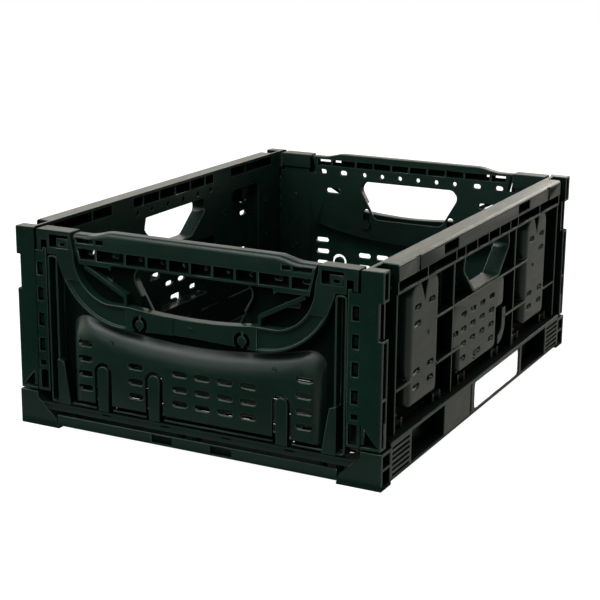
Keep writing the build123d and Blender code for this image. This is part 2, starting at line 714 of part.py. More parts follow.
def end_wall():
    """Near end wall in one moulding."""
    outer, hollow = bulge_shell()
    shoulder = strip_top - OVERLAP
    web_back = END_WEB + OVERLAP
    web = [
        end_block(-end_web_half, end_web_half, END_WEB, end_inner, FOOT_TOP + RIB, shoulder),
        end_block(-channel_outer, channel_outer, END_WEB, end_inner, CHANNEL_BOTTOM,
                  FOOT_TOP + RIB + OVERLAP),
        end_block(GAP - foot_inner, foot_inner - GAP, END_WEB, end_inner, END_WEB_BOTTOM,
                  CHANNEL_BOTTOM + OVERLAP),
    ]
    tongue = end_block(block_inner + RIB, hole_place, END_WEB, end_inner, shoulder - OVERLAP, saddle_top)
    shelf = end_block(shelf_start, rail_end_foot, END_FACE, web_back, shelf_bottom, cell_bottom)
    clip = end_block(shelf_start, shelf_start + RIB, END_FACE, web_back, shelf_bottom - SHELF_CLIP,
                     shelf_bottom + OVERLAP)
    middle = Pos((channel_inner + channel_outer) / 2, (CHANNEL_BOTTOM + channel_top) / 2)
    height = channel_top - CHANNEL_BOTTOM
    channel = middle * RectangleRounded(CHANNEL_WIDTH, height, CHANNEL_ROUND)
    channel -= middle * RectangleRounded(CHANNEL_WIDTH - 2 * CHANNEL_RIB, height - 2 * CHANNEL_RIB,
                                         CHANNEL_ROUND - CHANNEL_RIB)
    channel_rib = end_prism(channel, END_FACE, web_back)
    lugs = [end_block(hole_place - LUG_WIDTH / 2, hole_place + LUG_WIDTH / 2, LUG_FACE, web_back,
                      z - LUG_HEIGHT / 2, z + LUG_HEIGHT / 2) for z in strip_holes]
    foot_rib = end_block(-bulge_half, bulge_half, FOOT_RIB_FACE, web_back, FOOT_RIB_BOTTOM, FOOT_RIB_TOP)
    wall = web[0] + web[1:] + both_across([tongue, channel_rib] + lugs)
    wall += [outer, foot_rib, end_rail(), hand_collar()] + both_across([shelf, clip])
    hand = hand_outline(HAND_TOP_HALF, HAND_FOOT_HALF, hand_bottom, cell_flange, HAND_ROUND)
    slots = [slot_outline(place, z, BULGE_SLOT_LENGTH, BULGE_SLOT_HEIGHT)
             for place in BULGE_COLUMN_PLACES for z in BULGE_ROW_PLACES]
    side_slots = [slot_outline(bulge_half - BULGE_SIDE_COLUMN, z, BULGE_SLOT_LENGTH, BULGE_SLOT_HEIGHT)
                  for z in BULGE_SIDE_ROW_PLACES]
    side_slots.append(slot_outline(rail_end_foot - WEB_SLOT_INSET, shelf_bottom - WEB_SLOT_DROP,
                                   WEB_SLOT_LENGTH, WEB_SLOT_HEIGHT))
    stud_slot = Pos(BOSS_PLACE, boss_height + (HANDLE_LIFT + STUD_ENTRY) / 2) * Rot(0, 0, 90)
    stud_width = 2 * (STUD_RADIUS + STUD_PLAY)
    side_slots.append(stud_slot * SlotOverall(HANDLE_LIFT + STUD_ENTRY + stud_width, stud_width))
    slots += both_across(side_slots) + [hand]
    wall -= [hollow]
    wall -= [end_prism(slot, END_FACE - OVERLAP, end_inner + OVERLAP) for slot in slots]
    return finish_end_hinges(wall)


def finger_outline(place, width, bottom, top):
    """Upright tongue with a round upper end."""
    radius = width / 2
    height = top - radius - bottom
    finger = Pos(place, top - radius) * Circle(radius)
    return finger + Pos(place, bottom + height / 2) * Rectangle(width, height)


def finish_end_hinges(wall):
    """Adds the fingers and fins of the end wall and its hinge barrels, and cuts the room around them."""
    cuts = []
    adds = []
    half = BARREL_LENGTH / 2
    finger_foot = LIP_TOP + GAP
    for place in FINGER_PLACES:
        around = finger_outline(place, FINGER_WIDTH + 2 * FINGER_MARGIN, FOOT_RIB_BOTTOM - GAP,
                                FINGER_TOP + FINGER_MARGIN)
        cuts.append(end_prism(around, -OVERLAP, end_inner + OVERLAP))
        finger = finger_outline(place, FINGER_WIDTH, finger_foot, FINGER_TOP)
        adds.append(end_prism(finger, FINGER_FACE, FINGER_FACE + FINGER_THICK))
        adds.append(end_block(place - half, place + half, FINGER_FACE + OVERLAP, end_inner,
                              finger_foot, END_ARM_TOP))
        adds.append(end_block(place - half, place + half, END_WEB, end_inner, END_WEB_BOTTOM, END_ARM_TOP))
    fin_outer = fin_place + FIN_FOOT_WIDTH / 2
    fin = Polygon(
        (fin_place - FIN_FOOT_WIDTH / 2, finger_foot),
        (fin_outer, finger_foot),
        (fin_outer, FINGER_TOP),
        (fin_outer - FIN_TOP_WIDTH, FINGER_TOP - OVERLAP),
        align=None,
    )
    adds += both_across([end_prism(fin, FINGER_FACE, END_WEB + OVERLAP)])
    barrel_face = END_AXIS_INSET - BARREL_RADIUS
    for place in end_hinges:
        cuts.append(end_block(place - ear_reach - GAP, place + ear_reach + GAP, END_FACE - OVERLAP,
                              end_inner + OVERLAP, END_WEB_BOTTOM - OVERLAP, LIP_TOP))
        adds.append(end_block(place - half, place + half, barrel_face, end_inner, finger_foot, END_ARM_TOP))
        adds.append(end_block(place - half, place + half, barrel_face, END_AXIS_INSET + END_ARM_BACK,
                              END_AXIS_HEIGHT, END_ARM_TOP))
        adds.append(rod_across(place - half, place + half, END_AXIS_INSET, END_AXIS_HEIGHT, BARREL_RADIUS))
        reach = half + EAR_GAP + PIN_LENGTH
        adds.append(rod_across(place - reach, place + reach, END_AXIS_INSET, END_AXIS_HEIGHT, PIN_RADIUS))
    return wall - cuts + adds


def arm_outline():
    """Right arm of the lock handle, from its end block down to the grip."""
    start = (GRIP_HALF - GRIP_END, grip_bottom)
    elbow = (block_inner + ARM_ELBOW, grip_top + ARM_ELBOW_RISE)
    shoulder = (block_inner - ARM_TOP_STEP, block_top - ARM_DROP)
    foot = (block_inner - ARM_FOOT, grip_top)
    corner = block_inner + ARM_OUTER_STEP
    outer = ThreePointArc(start, (block_inner - ARM_BELLY, grip_bottom + ARM_BELLY_RISE), elbow)
    top = Polyline(elbow, (corner, block_top - ARM_OUTER_DROP), (corner, window_floor),
                   (block_inner, window_floor), shoulder)
    inner = ThreePointArc(shoulder, (block_inner - ARM_CURVE_INSET, grip_top + ARM_CURVE_RISE), foot)
    end = Polyline(foot, (start[0], grip_top), start)
    return make_face([outer, top, inner, end])


def grip_outline():
    """Front of the grip, sagging a little in the middle."""
    inner = GRIP_HALF - GRIP_END
    crown = ThreePointArc((inner, grip_top), (0, grip_top - GRIP_SAG), (-inner, grip_top))
    sole = ThreePointArc((-inner, grip_bottom), (0, grip_bottom + GRIP_RISE), (inner, grip_bottom))
    left = Polyline((-inner, grip_top), (-GRIP_HALF, grip_top), (-GRIP_HALF, grip_bottom),
                    (-inner, grip_bottom))
    right = Polyline((inner, grip_bottom), (GRIP_HALF, grip_bottom), (GRIP_HALF, grip_top),
                     (inner, grip_top))
    return make_face([crown, left, sole, right])


def lock_handle():
    """Near lock handle: grip, two curved arms and two end blocks with latch tabs."""
    back = HANDLE_FACE + HANDLE_DEPTH
    over = HANDLE_FACE - OVERLAP
    tab_outer = post_inner - TAB_GAP
    grip = end_prism(grip_outline(), HANDLE_FACE, back)
    arm = end_prism(arm_outline(), HANDLE_BAND_FACE, back)
    bead = end_prism(arm_outline() - offset(arm_outline(), -ARM_BEAD), HANDLE_FACE, back)
    proud_middle = grip_top + ARM_PROUD_RISE + GRIP_DROP / 2
    proud = arm_outline() & (Pos(block_inner, proud_middle) * Rectangle(CRATE_WIDTH, GRIP_DROP))
    upper = end_prism(proud, HANDLE_FACE, back)
    corner = block_inner + ARM_OUTER_STEP - OVERLAP
    slope = Polygon(
        (block_inner, block_top), (block_outer, block_top), (block_outer, block_bottom),
        (corner, block_bottom), (corner, block_top - ARM_DROP),
        (block_inner - ARM_TOP_STEP, block_top - ARM_DROP), (block_inner, window_roof), align=None)
    front = end_prism(slope, HANDLE_FACE, back)
    front -= end_block(block_inner + BLOCK_WALL, block_outer - BLOCK_WALL, over, back + OVERLAP,
                       window_floor, window_roof)
    tab = end_block(block_outer - OVERLAP, tab_outer, HANDLE_FACE, back, tab_bottom, block_top)
    tab -= end_block(block_outer - 2 * OVERLAP, block_outer + TAB_NOTCH, over, back + OVERLAP,
                     tab_bottom - OVERLAP, strip_top + NIB_HEIGHT + TAB_NOTCH_RISE)
    clamp_face = end_inner + GAP
    clamp_back = clamp_face + RIB
    bridge = end_block(block_inner, tab_outer, back - OVERLAP, clamp_back, saddle_top + GAP, block_top)
    clamp = end_block(block_inner, tab_outer, clamp_face, clamp_back, saddle_top - SADDLE_HEIGHT, block_top)
    boss = Pos(BOSS_PLACE, boss_height)
    hold = end_prism(boss * Circle(STUD_RADIUS), back - OVERLAP, clamp_face + OVERLAP / 2)
    hold += end_prism(boss * Circle(STUD_HEAD_RADIUS), clamp_face, clamp_face + STUD_HEAD_THICK)
    handle = grip + both_across([arm, bead, upper, front, tab, bridge, clamp, hold])
    nut_foot = window_floor - OVERLAP
    holes = []
    for side in (-1, 1):
        place = side * (block_inner + block_outer) / 2 + NUT_SHIFT
        handle += end_block(place - NUT_LENGTH / 2, place + NUT_LENGTH / 2, NUT_FACE, back, nut_foot,
                            window_floor + NUT_HEIGHT)
        holes.append(end_block(place - NUT_HOLE_LENGTH / 2, place + NUT_HOLE_LENGTH / 2, over, back + OVERLAP,
                               window_floor + OVERLAP, window_floor + OVERLAP + NUT_HOLE_HEIGHT))
    ring = Circle(BOSS_RADIUS) - Circle(BOSS_CORE) - Rectangle(BOSS_BRIDGE, 2 * BOSS_RADIUS + OVERLAP)
    holes += both_across([end_prism(boss * ring, over, HANDLE_FACE + BOSS_DEPTH)])
    holes.append(end_block(-GRIP_PATCH, GRIP_PATCH, over, HANDLE_FACE + GRIP_PATCH_DEPTH,
                           grip_bottom - OVERLAP, grip_top + OVERLAP))
    return handle - holes


def lock_spring():
    """Right leaf spring of the near handle: up from the grip, then slanting out under the shelf."""
    half = SPRING_THICK / 2
    root = GRIP_HALF - SPRING_ROOT_INSET
    bend = grip_top + SPRING_BEND_RISE
    tip = rail_end_foot - SPRING_TIP_INSET
    tip_top = shelf_bottom - SPRING_TIP_GAP
    leaf = Polygon(
        (root - half, grip_top),
        (root + half, grip_top),
        (root + half, bend - half),
        (tip + half, tip_top - SPRING_THICK),
        (tip, tip_top),
        (tip - half, tip_top),
        (root - half, bend + half),
        align=None,
    )
    bends = leaf.vertices().sort_by_distance((root, bend, 0))[:2]
    leaf = fillet(bends, SPRING_BEND_ROUND)
    return end_prism(leaf, SPRING_FACE, SPRING_FACE + SPRING_WIDTH)


def corner_post():
    """Corner post of the right long wall at the near end, with the strip that the end wall shuts against."""
    outer = half_width - POST_FACE
    recess = outer - POST_RECESS
    inner = half_width - SIDE_DEPTH
    shelf_high = CRATE_HEIGHT - POST_RECESS_DROP
    shelf_low = shelf_high - POST_RECESS_HEIGHT
    recess_low = shelf_low + RIB / 2
    recess_high = shelf_high - RIB / 2
    front = Polygon(
        (outer, POST_BOTTOM), (outer, recess_low), (recess, recess_low), (recess, recess_high),
        (outer, recess_high), (outer, CRATE_HEIGHT), (post_inner, CRATE_HEIGHT),
        (post_inner, POST_CUT_INNER), (post_inner + POST_CUT_STEP, POST_CUT_INNER), align=None)
    strip = Polygon((strip_inner, POST_BOTTOM), (post_inner + OVERLAP, POST_BOTTOM),
                    (post_inner + OVERLAP, strip_top), (strip_inner, strip_top), align=None)
    holes = [Pos(hole_place, z) * Rectangle(STRIP_HOLE_WIDTH, STRIP_HOLE_HEIGHT) for z in strip_holes]
    holes.append(Pos(hole_place, STRIP_FOOT_HOLE) * Rectangle(STRIP_HOLE_WIDTH, STRIP_FOOT_HOLE_HEIGHT))
    window = Pos((strip_inner + post_inner) / 2, (STRIP_WINDOW_BOTTOM + STRIP_WINDOW_TOP) / 2)
    holes.append(window * Rectangle(STRIP_WINDOW_WIDTH, STRIP_WINDOW_TOP - STRIP_WINDOW_BOTTOM))
    strip -= holes
    strip_back = STRIP_FACE + SKIN
    solids = [
        end_prism(front, 0, SKIN),
        end_prism(strip, STRIP_FACE, strip_back),
        end_block(strip_inner, strip_inner + NIB_WIDTH, STRIP_FACE, strip_back, strip_top - OVERLAP,
                  strip_top + NIB_HEIGHT),
        end_block(post_inner, outer, POST_CUT_BACK, POST_DEPTH - RIB + GAP / 2, POST_BOTTOM,
                  POST_CUT_INNER + RIB),
        end_block(inner, outer, POST_DEPTH - RIB, POST_DEPTH, POST_BOTTOM, CRATE_HEIGHT),
        end_block(inner, half_width - SIDE_WEB, 0, RIM_INSET, SIDE_BOTTOM, CRATE_HEIGHT),
    ]
    for z in (POST_BOTTOM + RIB / 2, POST_SHELF_LOW, shelf_low, shelf_high, CRATE_HEIGHT - RIB / 2):
        solids.append(end_block(inner, outer, 0, POST_DEPTH, z - RIB / 2, z + RIB / 2))
    for drop in POST_CHANNEL_DROPS:
        z = CRATE_HEIGHT - drop
        solids.append(end_block(inner, half_width - SIDE_WEB / 2, POST_DEPTH - RIB, RIM_INSET + OVERLAP,
                                z - RIB / 2, z + RIB / 2))
    post = solids[0] + solids[1:]
    return post - end_block(recess, half_width, -OVERLAP, POST_DEPTH + OVERLAP, recess_low, recess_high)


def side_rim():
    """Rim of the right long wall: pockets outside below, pockets inside above."""
    face = RIM_FACE - OVERLAP
    rim = side_block(-rim_end, rim_end, RIM_FACE, SIDE_DEPTH, rim_flange, CRATE_HEIGHT)
    edges = [edge for edge in rim.edges()
             if edge.center().X > half_width - RIM_FACE - GAP and edge.center().Z > CRATE_HEIGHT - GAP]
    rim = fillet(edges, RIM_ROUND)
    ribs = [0, RIM_RIB_PITCH, 2 * RIM_RIB_PITCH, BAY_RIB_PLACE, pod_middle, rim_end - RIB / 2]
    cuts = []
    for left, right in zip(ribs, ribs[1:]):
        cuts.append(side_block(left + RIB / 2, right - RIB / 2, face, SIDE_WEB,
                               rim_cell_bottom, rim_cell_top))
    spans = list(zip(ribs[:2], ribs[1:3]))
    spans.append((2 * RIM_RIB_PITCH, rim_notch_start - RIB / 2))
    spans.append((rim_notch_end + RIB / 2, pod_middle))
    spans.append((pod_middle, rim_end - RIB / 2))
    for left, right in spans:
        cuts.append(side_block(left + RIB / 2, right - RIB / 2, RIM_FACE + SKIN, SIDE_DEPTH + OVERLAP,
                               rim_cell_top + RIB, CRATE_HEIGHT - SKIN))
    cuts.append(side_block(rim_notch_start, rim_notch_end, face, SIDE_DEPTH - SKIN,
                           rim_notch_top - RIM_NOTCH_HEIGHT, rim_notch_top))
    groove = half_length - RIM_GROOVE_INSET
    cuts.append(side_block(groove, groove + RIM_GROOVE_WIDTH, face, RIM_FACE + RIM_GROOVE_DEPTH,
                           rim_cell_top - OVERLAP, CRATE_HEIGHT + OVERLAP))
    middle = (rim_cell_bottom + rim_cell_top) / 2
    for left, right in zip(ribs[:3], ribs[1:4]):
        hole = Pos((left + right) / 2, middle) * Circle(CELL_HOLE_RADIUS)
        cuts.append(side_prism(hole, SIDE_WEB - OVERLAP, SIDE_DEPTH + OVERLAP))
    step = side_block(-rim_end - OVERLAP, rim_end + OVERLAP, face, RIM_FLANGE_FACE, rim_flange - OVERLAP,
                      rim_cell_top)
    return rim - step - both_along(cuts)


def side_pad(start, end, bottom, top, softness, radius):
    """Bulged pad of the right long wall, as its outer shape and its hollow."""
    centre = Pos((start + end) / 2, (bottom + top) / 2)

    def pad_outline(inset, wall):
        length = end - start - 2 * softness * inset - 2 * wall
        height = top - bottom - 2 * softness * PAD_RISE_SHARE * inset - 2 * wall
        face = centre * Rectangle(length, height)
        face = fillet(face.vertices().sort_by(Axis.Y)[2:], radius - wall)
        return fillet(face.vertices().sort_by(Axis.Y)[:2], PAD_FOOT_ROUND - wall)

    def outline(inset):
        return pad_outline(inset, 0)

    def hollow_outline(inset):
        return pad_outline(inset, SKIN)

    def outer_plane(height):
        return Plane.YZ.offset(half_width - SIDE_WEB + height)

    def inner_plane(height):
        return Plane.YZ.offset(half_width - SIDE_WEB - SKIN + height)

    return pillow(outline, PAD_STEPS, outer_plane), pillow(hollow_outline, PAD_STEPS, inner_plane)


def pad_notch(middle, grow):
    """Wedge-shaped notch in the top of a pad, made wider by the given amount."""
    top = rim_flange + OVERLAP
    apex = (middle, rim_flange - NOTCH_HEIGHT - grow)
    return Polygon((middle - NOTCH_BEFORE - grow, top), apex, (middle + NOTCH_AFTER + grow, top), align=None)


def bay_shelf(points, z):
    """Flat rib lying across a bay of the right long wall, drawn by places along and insets."""
    outline = Polygon(*[(half_width - inset, place) for place, inset in points], align=None)
    return extrude(Plane.XY.offset(z - RIB / 2) * outline, RIB, dir=(0, 0, 1))


def side_bays():
    """Ribs in the bays between the pods and the middle panel."""
    back = SIDE_WEB + OVERLAP
    tip = POD_FACE + GAP
    wedge = POD_INNER + BAY_WEDGE
    upper = [(-wedge, tip), (-POD_INNER, BAY_SHELF_FACE), (POD_INNER, BAY_SHELF_FACE), (wedge, tip),
             (wedge, back), (-wedge, back)]
    lower = [(PANEL_END + RIB, BAY_SHELF_FACE), (POD_INNER, BAY_SHELF_FACE), (wedge, tip), (wedge, back),
             (PANEL_END + RIB, back)]
    outer = [(pod_outer - BAY_WEDGE, tip), (pod_outer, BAY_SHELF_FACE), (rim_end - OVERLAP, BAY_SHELF_FACE),
             (rim_end - OVERLAP, back), (pod_outer - BAY_WEDGE, back)]
    ribs = [
        bay_shelf(lower, BAY_SHELF_LOW),
        bay_shelf(outer, BAY_SHELF_LOW),
        side_block(BAY_RIB_PLACE - RIB / 2, BAY_RIB_PLACE + RIB / 2, BAY_RIB_FACE, back, SIDE_BOTTOM,
                   rim_flange + OVERLAP),
        side_block(rim_end - RIB, rim_end, COLLAR_FACE, SIDE_DEPTH, SIDE_BOTTOM, CRATE_HEIGHT - OVERLAP),
    ]
    return [bay_shelf(upper, panel_top)] + both_along(ribs)


def side_slots():
    """Outlines of all slots in the pods and the middle panel."""
    places = []
    upper = rim_flange - POD_SLOT_DROP
    for side in (-1, 1):
        middle = side * pod_middle
        for z in (upper, POD_SLOT_LOW, POD_SLOT_LOWER):
            places.append((middle - POD_SLOT_SPREAD, z))
            places.append((middle + POD_SLOT_SPREAD, z))
        places.append((middle + side * POD_SLOT_SPREAD, upper - POD_SLOT_STEP))
    pitch = (panel_top - POD_BOTTOM) / (PANEL_ROWS + PANEL_FIRST_ROW)
    for number in range(PANEL_ROWS):
        z = POD_BOTTOM + pitch * (number + PANEL_FIRST_ROW)
        columns = PANEL_COLUMN_PLACES if number else (PANEL_COLUMN_PLACES[0], PANEL_COLUMN_PLACES[-1])
        places += [(place, z) for place in columns]
        if number == PANEL_SIDE_ROW:
            places.append((PANEL_SIDE_SLOT + RIB - BAY_RIB_PLACE, z))
    slots = [slot_outline(place, z, SIDE_SLOT_LENGTH, SIDE_SLOT_HEIGHT) for place, z in places]
    keyhole_height = POD_BOTTOM + KEYHOLE_LIFT
    keyhole = slot_outline(KEYHOLE_PLACE, keyhole_height, KEYHOLE_LENGTH, KEYHOLE_HEIGHT)
    lobe = KEYHOLE_PLACE - KEYHOLE_LENGTH / 2 + KEYHOLE_RADIUS
    keyhole += Pos(lobe, keyhole_height - KEYHOLE_HEIGHT / 2) * Circle(KEYHOLE_RADIUS)
    return slots + [keyhole]


def long_wall():
    """Right long wall in one moulding, with a corner post at both ends."""
    reach = rim_end - OVERLAP
    web = side_block(-reach, reach, SIDE_WEB, SIDE_DEPTH, SIDE_BOTTOM, rim_flange + OVERLAP)
    pods = [
        side_pad(-pod_outer, -POD_INNER, POD_BOTTOM, rim_flange + GAP, 1, POD_ROUND),
        side_pad(POD_INNER, pod_outer, POD_BOTTOM, rim_flange + GAP, 1, POD_ROUND),
    ]
    panels = [
        side_pad(PANEL_START, PANEL_STEP, POD_BOTTOM, panel_top, PANEL_SOFTNESS, PANEL_ROUND),
        side_pad(PANEL_START, PANEL_END, PANEL_STEP_HEIGHT, panel_top, PANEL_SOFTNESS, PANEL_ROUND),
        side_pad(-BAY_RIB_PLACE, PANEL_STEP, BAY_SHELF_LOW, panel_top, PANEL_SOFTNESS, PANEL_ROUND),
    ]
    opening = window_outline(0)
    collar = side_prism(window_outline(RIB), COLLAR_FACE, SIDE_WEB + OVERLAP)
    wall = web + [outer for outer, hollow in pods + panels]
    wall += [collar, side_rim()] + side_bays() + both_along([corner_post()])
    wall -= [hollow for outer, hollow in pods + panels]
    for middle, pod in zip((-pod_middle, pod_middle), pods):
        wall += side_prism(pad_notch(middle, RIB), POD_FACE + OVERLAP, SIDE_WEB + OVERLAP) & pod[1]
        wall -= side_prism(pad_notch(middle, 0), POD_FACE - OVERLAP, POD_FACE + NOTCH_DEPTH)
    wall -= [side_prism(slot, 0, SIDE_DEPTH + OVERLAP) for slot in side_slots() + [opening]]
    return finish_side_hinges(wall)


def finish_side_hinges(wall):
    """Cuts room for the ears of the base and adds the hinge barrels and the hook of the long wall."""
    cuts = []
    adds = []
    half = BARREL_LENGTH / 2
    for place in side_hinges:
        cuts.append(side_block(place - ear_reach - GAP, place + ear_reach + GAP, 0, SIDE_WEB,
                               RAIL_TOP, SIDE_AXIS_HEIGHT + BARREL_RADIUS + GAP))
        adds.append(side_block(place - half, place + half, SIDE_AXIS_INSET, SIDE_WEB + OVERLAP,
                               SIDE_AXIS_HEIGHT, SIDE_ARM_TOP))
        adds.append(rod_along(place - half, place + half, SIDE_AXIS_INSET, SIDE_AXIS_HEIGHT, BARREL_RADIUS))
        reach = half + EAR_GAP + PIN_LENGTH
        adds.append(rod_along(place - reach, place + reach, SIDE_AXIS_INSET, SIDE_AXIS_HEIGHT, PIN_RADIUS))
    turn = (HOOK_PLACE, HOOK_TURN)
    bend = (HOOK_PLACE - HOOK_BEND * HOOK_REACH, HOOK_BOTTOM + HOOK_BEND * (HOOK_TURN - HOOK_BOTTOM))
    curve = Line((HOOK_PLACE, HOOK_TOP), turn)
    curve += ThreePointArc(turn, bend, (HOOK_PLACE - HOOK_REACH, HOOK_BOTTOM))
    adds.append(side_prism(trace(curve, HOOK_WIDTH), HOOK_FACE, SIDE_WEB + OVERLAP))
    return wall - cuts + adds


def write(shape, name):
    """Writes one node as a STEP file and says how big it is."""
    export_step(shape, f"parts/{name}.step")
    print(name, "solids", len(shape.solids()), "volume", round(shape.volume))


os.makedirs("parts", exist_ok=True)
near_wall = end_wall()
near_handle = lock_handle()
right_spring = lock_spring()
left_spring = mirror(right_spring, about=Plane.YZ)
right_wall = long_wall()
label = side_prism(label_outline(), LABEL_RECESS - LABEL_THICK, LABEL_RECESS)
write(base_tray(), "base_tray")
write(right_wall, "long_wall_right")
write(turned_round(right_wall), "long_wall_left")
write(near_wall, "end_wall_front")
write(turned_round(near_wall), "end_wall_back")
write(near_handle, "lock_handle_front")
write(turned_round(near_handle), "lock_handle_back")
write(left_spring, "lock_spring_front_left")
write(right_spring, "lock_spring_front_right")
write(turned_round(right_spring), "lock_spring_back_left")
write(turned_round(left_spring), "lock_spring_back_right")
write(label, "label_blank")
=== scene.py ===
# %% [markdown]
# A folding harvest crate, dressed in Blender. The real crate is seven polypropylene mouldings: a base
# tray, two long walls, two end walls and two sliding lock handles with leaf springs, plus a film
# label. The CAD model brings their exact shapes and joints. This lesson gives them rounded edges, a
# plastic finish, the small marks that a mould leaves, and a studio with the camera of the photograph.

import math

import bmesh
import bpy
import numpy as np
from mathutils import Matrix, Vector
from mathutils.bvhtree import BVHTree
from mathutils.geometry import delaunay_2d_cdt


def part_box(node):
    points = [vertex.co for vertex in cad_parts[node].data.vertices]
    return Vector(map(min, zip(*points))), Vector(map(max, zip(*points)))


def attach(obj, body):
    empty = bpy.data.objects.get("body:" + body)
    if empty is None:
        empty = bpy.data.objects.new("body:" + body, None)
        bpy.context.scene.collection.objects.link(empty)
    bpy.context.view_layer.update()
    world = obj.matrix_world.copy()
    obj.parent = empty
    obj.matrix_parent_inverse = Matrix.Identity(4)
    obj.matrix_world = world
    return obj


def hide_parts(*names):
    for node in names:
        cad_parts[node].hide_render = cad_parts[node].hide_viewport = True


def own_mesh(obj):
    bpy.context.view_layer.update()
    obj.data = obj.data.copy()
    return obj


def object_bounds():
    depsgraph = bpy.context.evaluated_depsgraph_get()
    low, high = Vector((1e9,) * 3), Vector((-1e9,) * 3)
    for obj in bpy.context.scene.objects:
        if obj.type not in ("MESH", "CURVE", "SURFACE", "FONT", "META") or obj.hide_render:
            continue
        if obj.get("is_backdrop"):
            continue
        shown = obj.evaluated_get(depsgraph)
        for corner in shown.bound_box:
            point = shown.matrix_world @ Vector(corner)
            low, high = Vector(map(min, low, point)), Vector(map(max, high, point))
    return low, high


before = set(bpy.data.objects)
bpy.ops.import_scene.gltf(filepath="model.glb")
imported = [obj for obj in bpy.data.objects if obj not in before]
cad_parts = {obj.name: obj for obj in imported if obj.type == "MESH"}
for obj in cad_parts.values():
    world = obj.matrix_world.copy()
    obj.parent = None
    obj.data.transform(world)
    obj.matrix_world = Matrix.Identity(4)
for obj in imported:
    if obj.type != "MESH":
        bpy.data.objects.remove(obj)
cad_low, cad_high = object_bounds()
print("nodes", sorted(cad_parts))
print("box", [round(v, 4) for v in cad_low], [round(v, 4) for v in cad_high])

# %% [markdown]
# The plastic is dark green, nearly black, and satin. A flat colour would look like a toy, so the
# finish is built from layers, each at the size it has on the real thing: slow waves left by
# shrinking, a fine spark-eroded grain, faint flow streaks, rub marks near the floor where crates
# slide, and a little dust on faces that look up. A picture could be wrapped round the crate instead,
# but it would blur close up. All layers read Object coordinates, which are metres in the crate's own
# frame, because every piece sits at the origin.

# %% Node helpers
# Numbers of the colour sockets of a Mix node
MIX_FIRST, MIX_SECOND, MIX_RESULT = 6, 7, 2


def add_node(tree, kind, **values):
    """Adds one node and sets its input sockets by name."""
    node = tree.nodes.new(kind)
    for name, value in values.items():
        node.inputs[name.replace("_", " ")].default_value = value
    return node


def noise(tree, coords, scale, detail, rough=0.5):
    """Noise texture on the given coordinates."""
    node = add_node(tree, "ShaderNodeTexNoise", Scale=scale, Detail=detail, Roughness=rough)
    tree.links.new(coords, node.inputs["Vector"])
    return node.outputs["Fac"]


def stretched(tree, coords, scale):
    """Coordinates squeezed by a different amount along each axis."""
    node = add_node(tree, "ShaderNodeMapping", Scale=scale)
    tree.links.new(coords, node.inputs["Vector"])
    return node.outputs["Vector"]


def axes(tree, vector):
    """The three parts of a vector."""
    node = tree.nodes.new("ShaderNodeSeparateXYZ")
    tree.links.new(vector, node.inputs["Vector"])
    return node.outputs["X"], node.outputs["Y"], node.outputs["Z"]


def span(tree, value, low, high, to_low, to_high):
    """Maps one range of a value onto another, clamped."""
    node = add_node(tree, "ShaderNodeMapRange", From_Min=low, From_Max=high, To_Min=to_low, To_Max=to_high)
    tree.links.new(value, node.inputs["Value"])
    return node.outputs["Result"]


def reckon(tree, operation, *values):
    """Math node; each value is a socket or a plain number."""
    node = tree.nodes.new("ShaderNodeMath")
    node.operation = operation
    for value, socket in zip(values, node.inputs):
        if isinstance(value, (int, float)):
            socket.default_value = value
        else:
            tree.links.new(value, socket)
    return node.outputs[0]


def tinted(tree, share, first, second):
    """Mix of two colours; each is a socket or a plain colour."""
    node = tree.nodes.new("ShaderNodeMix")
    node.data_type = "RGBA"
    tree.links.new(share, node.inputs["Factor"])
    for colour, number in ((first, MIX_FIRST), (second, MIX_SECOND)):
        if isinstance(colour, tuple):
            node.inputs[number].default_value = colour
        else:
            tree.links.new(colour, node.inputs[number])
    return node.outputs[MIX_RESULT]


def bumped(tree, height, distance, strength, below=None):
    """Bump node, on top of another bump where one is given."""
    node = add_node(tree, "ShaderNodeBump", Distance=distance, Strength=strength)
    tree.links.new(height, node.inputs["Height"])
    if below:
        tree.links.new(below, node.inputs["Normal"])
    return node.outputs["Normal"]


# %% [markdown]
# The colour has four layers: faint clouds in the green, painted shade deep inside, pale rub marks by the
# ground, and dust. The real plastic isn't darker inside, but little light gets there, so that darker share
# is painted shade. The light of the scene shows only a part of that, and the slots in the walls looked too
# pale, so the rest is painted in with a given gain. A noise is given here by its scale, its detail and,
# where it isn't the usual one, its roughness, and the span after it is the part of its range that is used.

# %% Colour of the plastic
CLOUD, CLOUD_SPAN, CLOUD_GAIN = (23, 3), (0.35, 0.7), 1.35
# Painted shade: low places inside the crate are painted darker, since little light reaches them
PAINTED_SHADE_REACH = (0.940, 0.980)
PAINTED_SHADE_LEVEL = (0.060, 0.135)
PAINTED_SHADE_GAIN = 0.40
RUB = (0.0420, 0.0460, 0.0400, 1)
RUB_LEVEL = (0.001, 0.009)
SCRATCH_STRETCH = (900, 900, 70)
SCRATCH, SCRATCH_SPAN, SCRATCH_SHARE = (1, 4, 0.7), (0.50, 0.68), 0.45
DUST = (0.1100, 0.1050, 0.0880, 1)
DUST_FACING = (0.55, 0.98)
DUST_CLOUD, DUST_SPAN, DUST_LEAST = (260, 5, 0.65), (0.38, 0.72), 0.25


def times(colour, gain):
    """A colour with its three parts multiplied."""
    return tuple(min(1, gain * part) for part in colour[:3]) + (1,)


def painted_shade_share(tree, x, y, z):
    """Share of painted shade: how far a place lies in the lower inside of the crate."""
    across = reckon(tree, "MULTIPLY", reckon(tree, "ABSOLUTE", x), 1 / cad_high[0])
    along = reckon(tree, "MULTIPLY", reckon(tree, "ABSOLUTE", y), 1 / cad_high[1])
    inside = span(tree, reckon(tree, "MAXIMUM", across, along), *PAINTED_SHADE_REACH, 1, 0)
    return reckon(tree, "MULTIPLY", inside, span(tree, z, *PAINTED_SHADE_LEVEL, 1, 0))


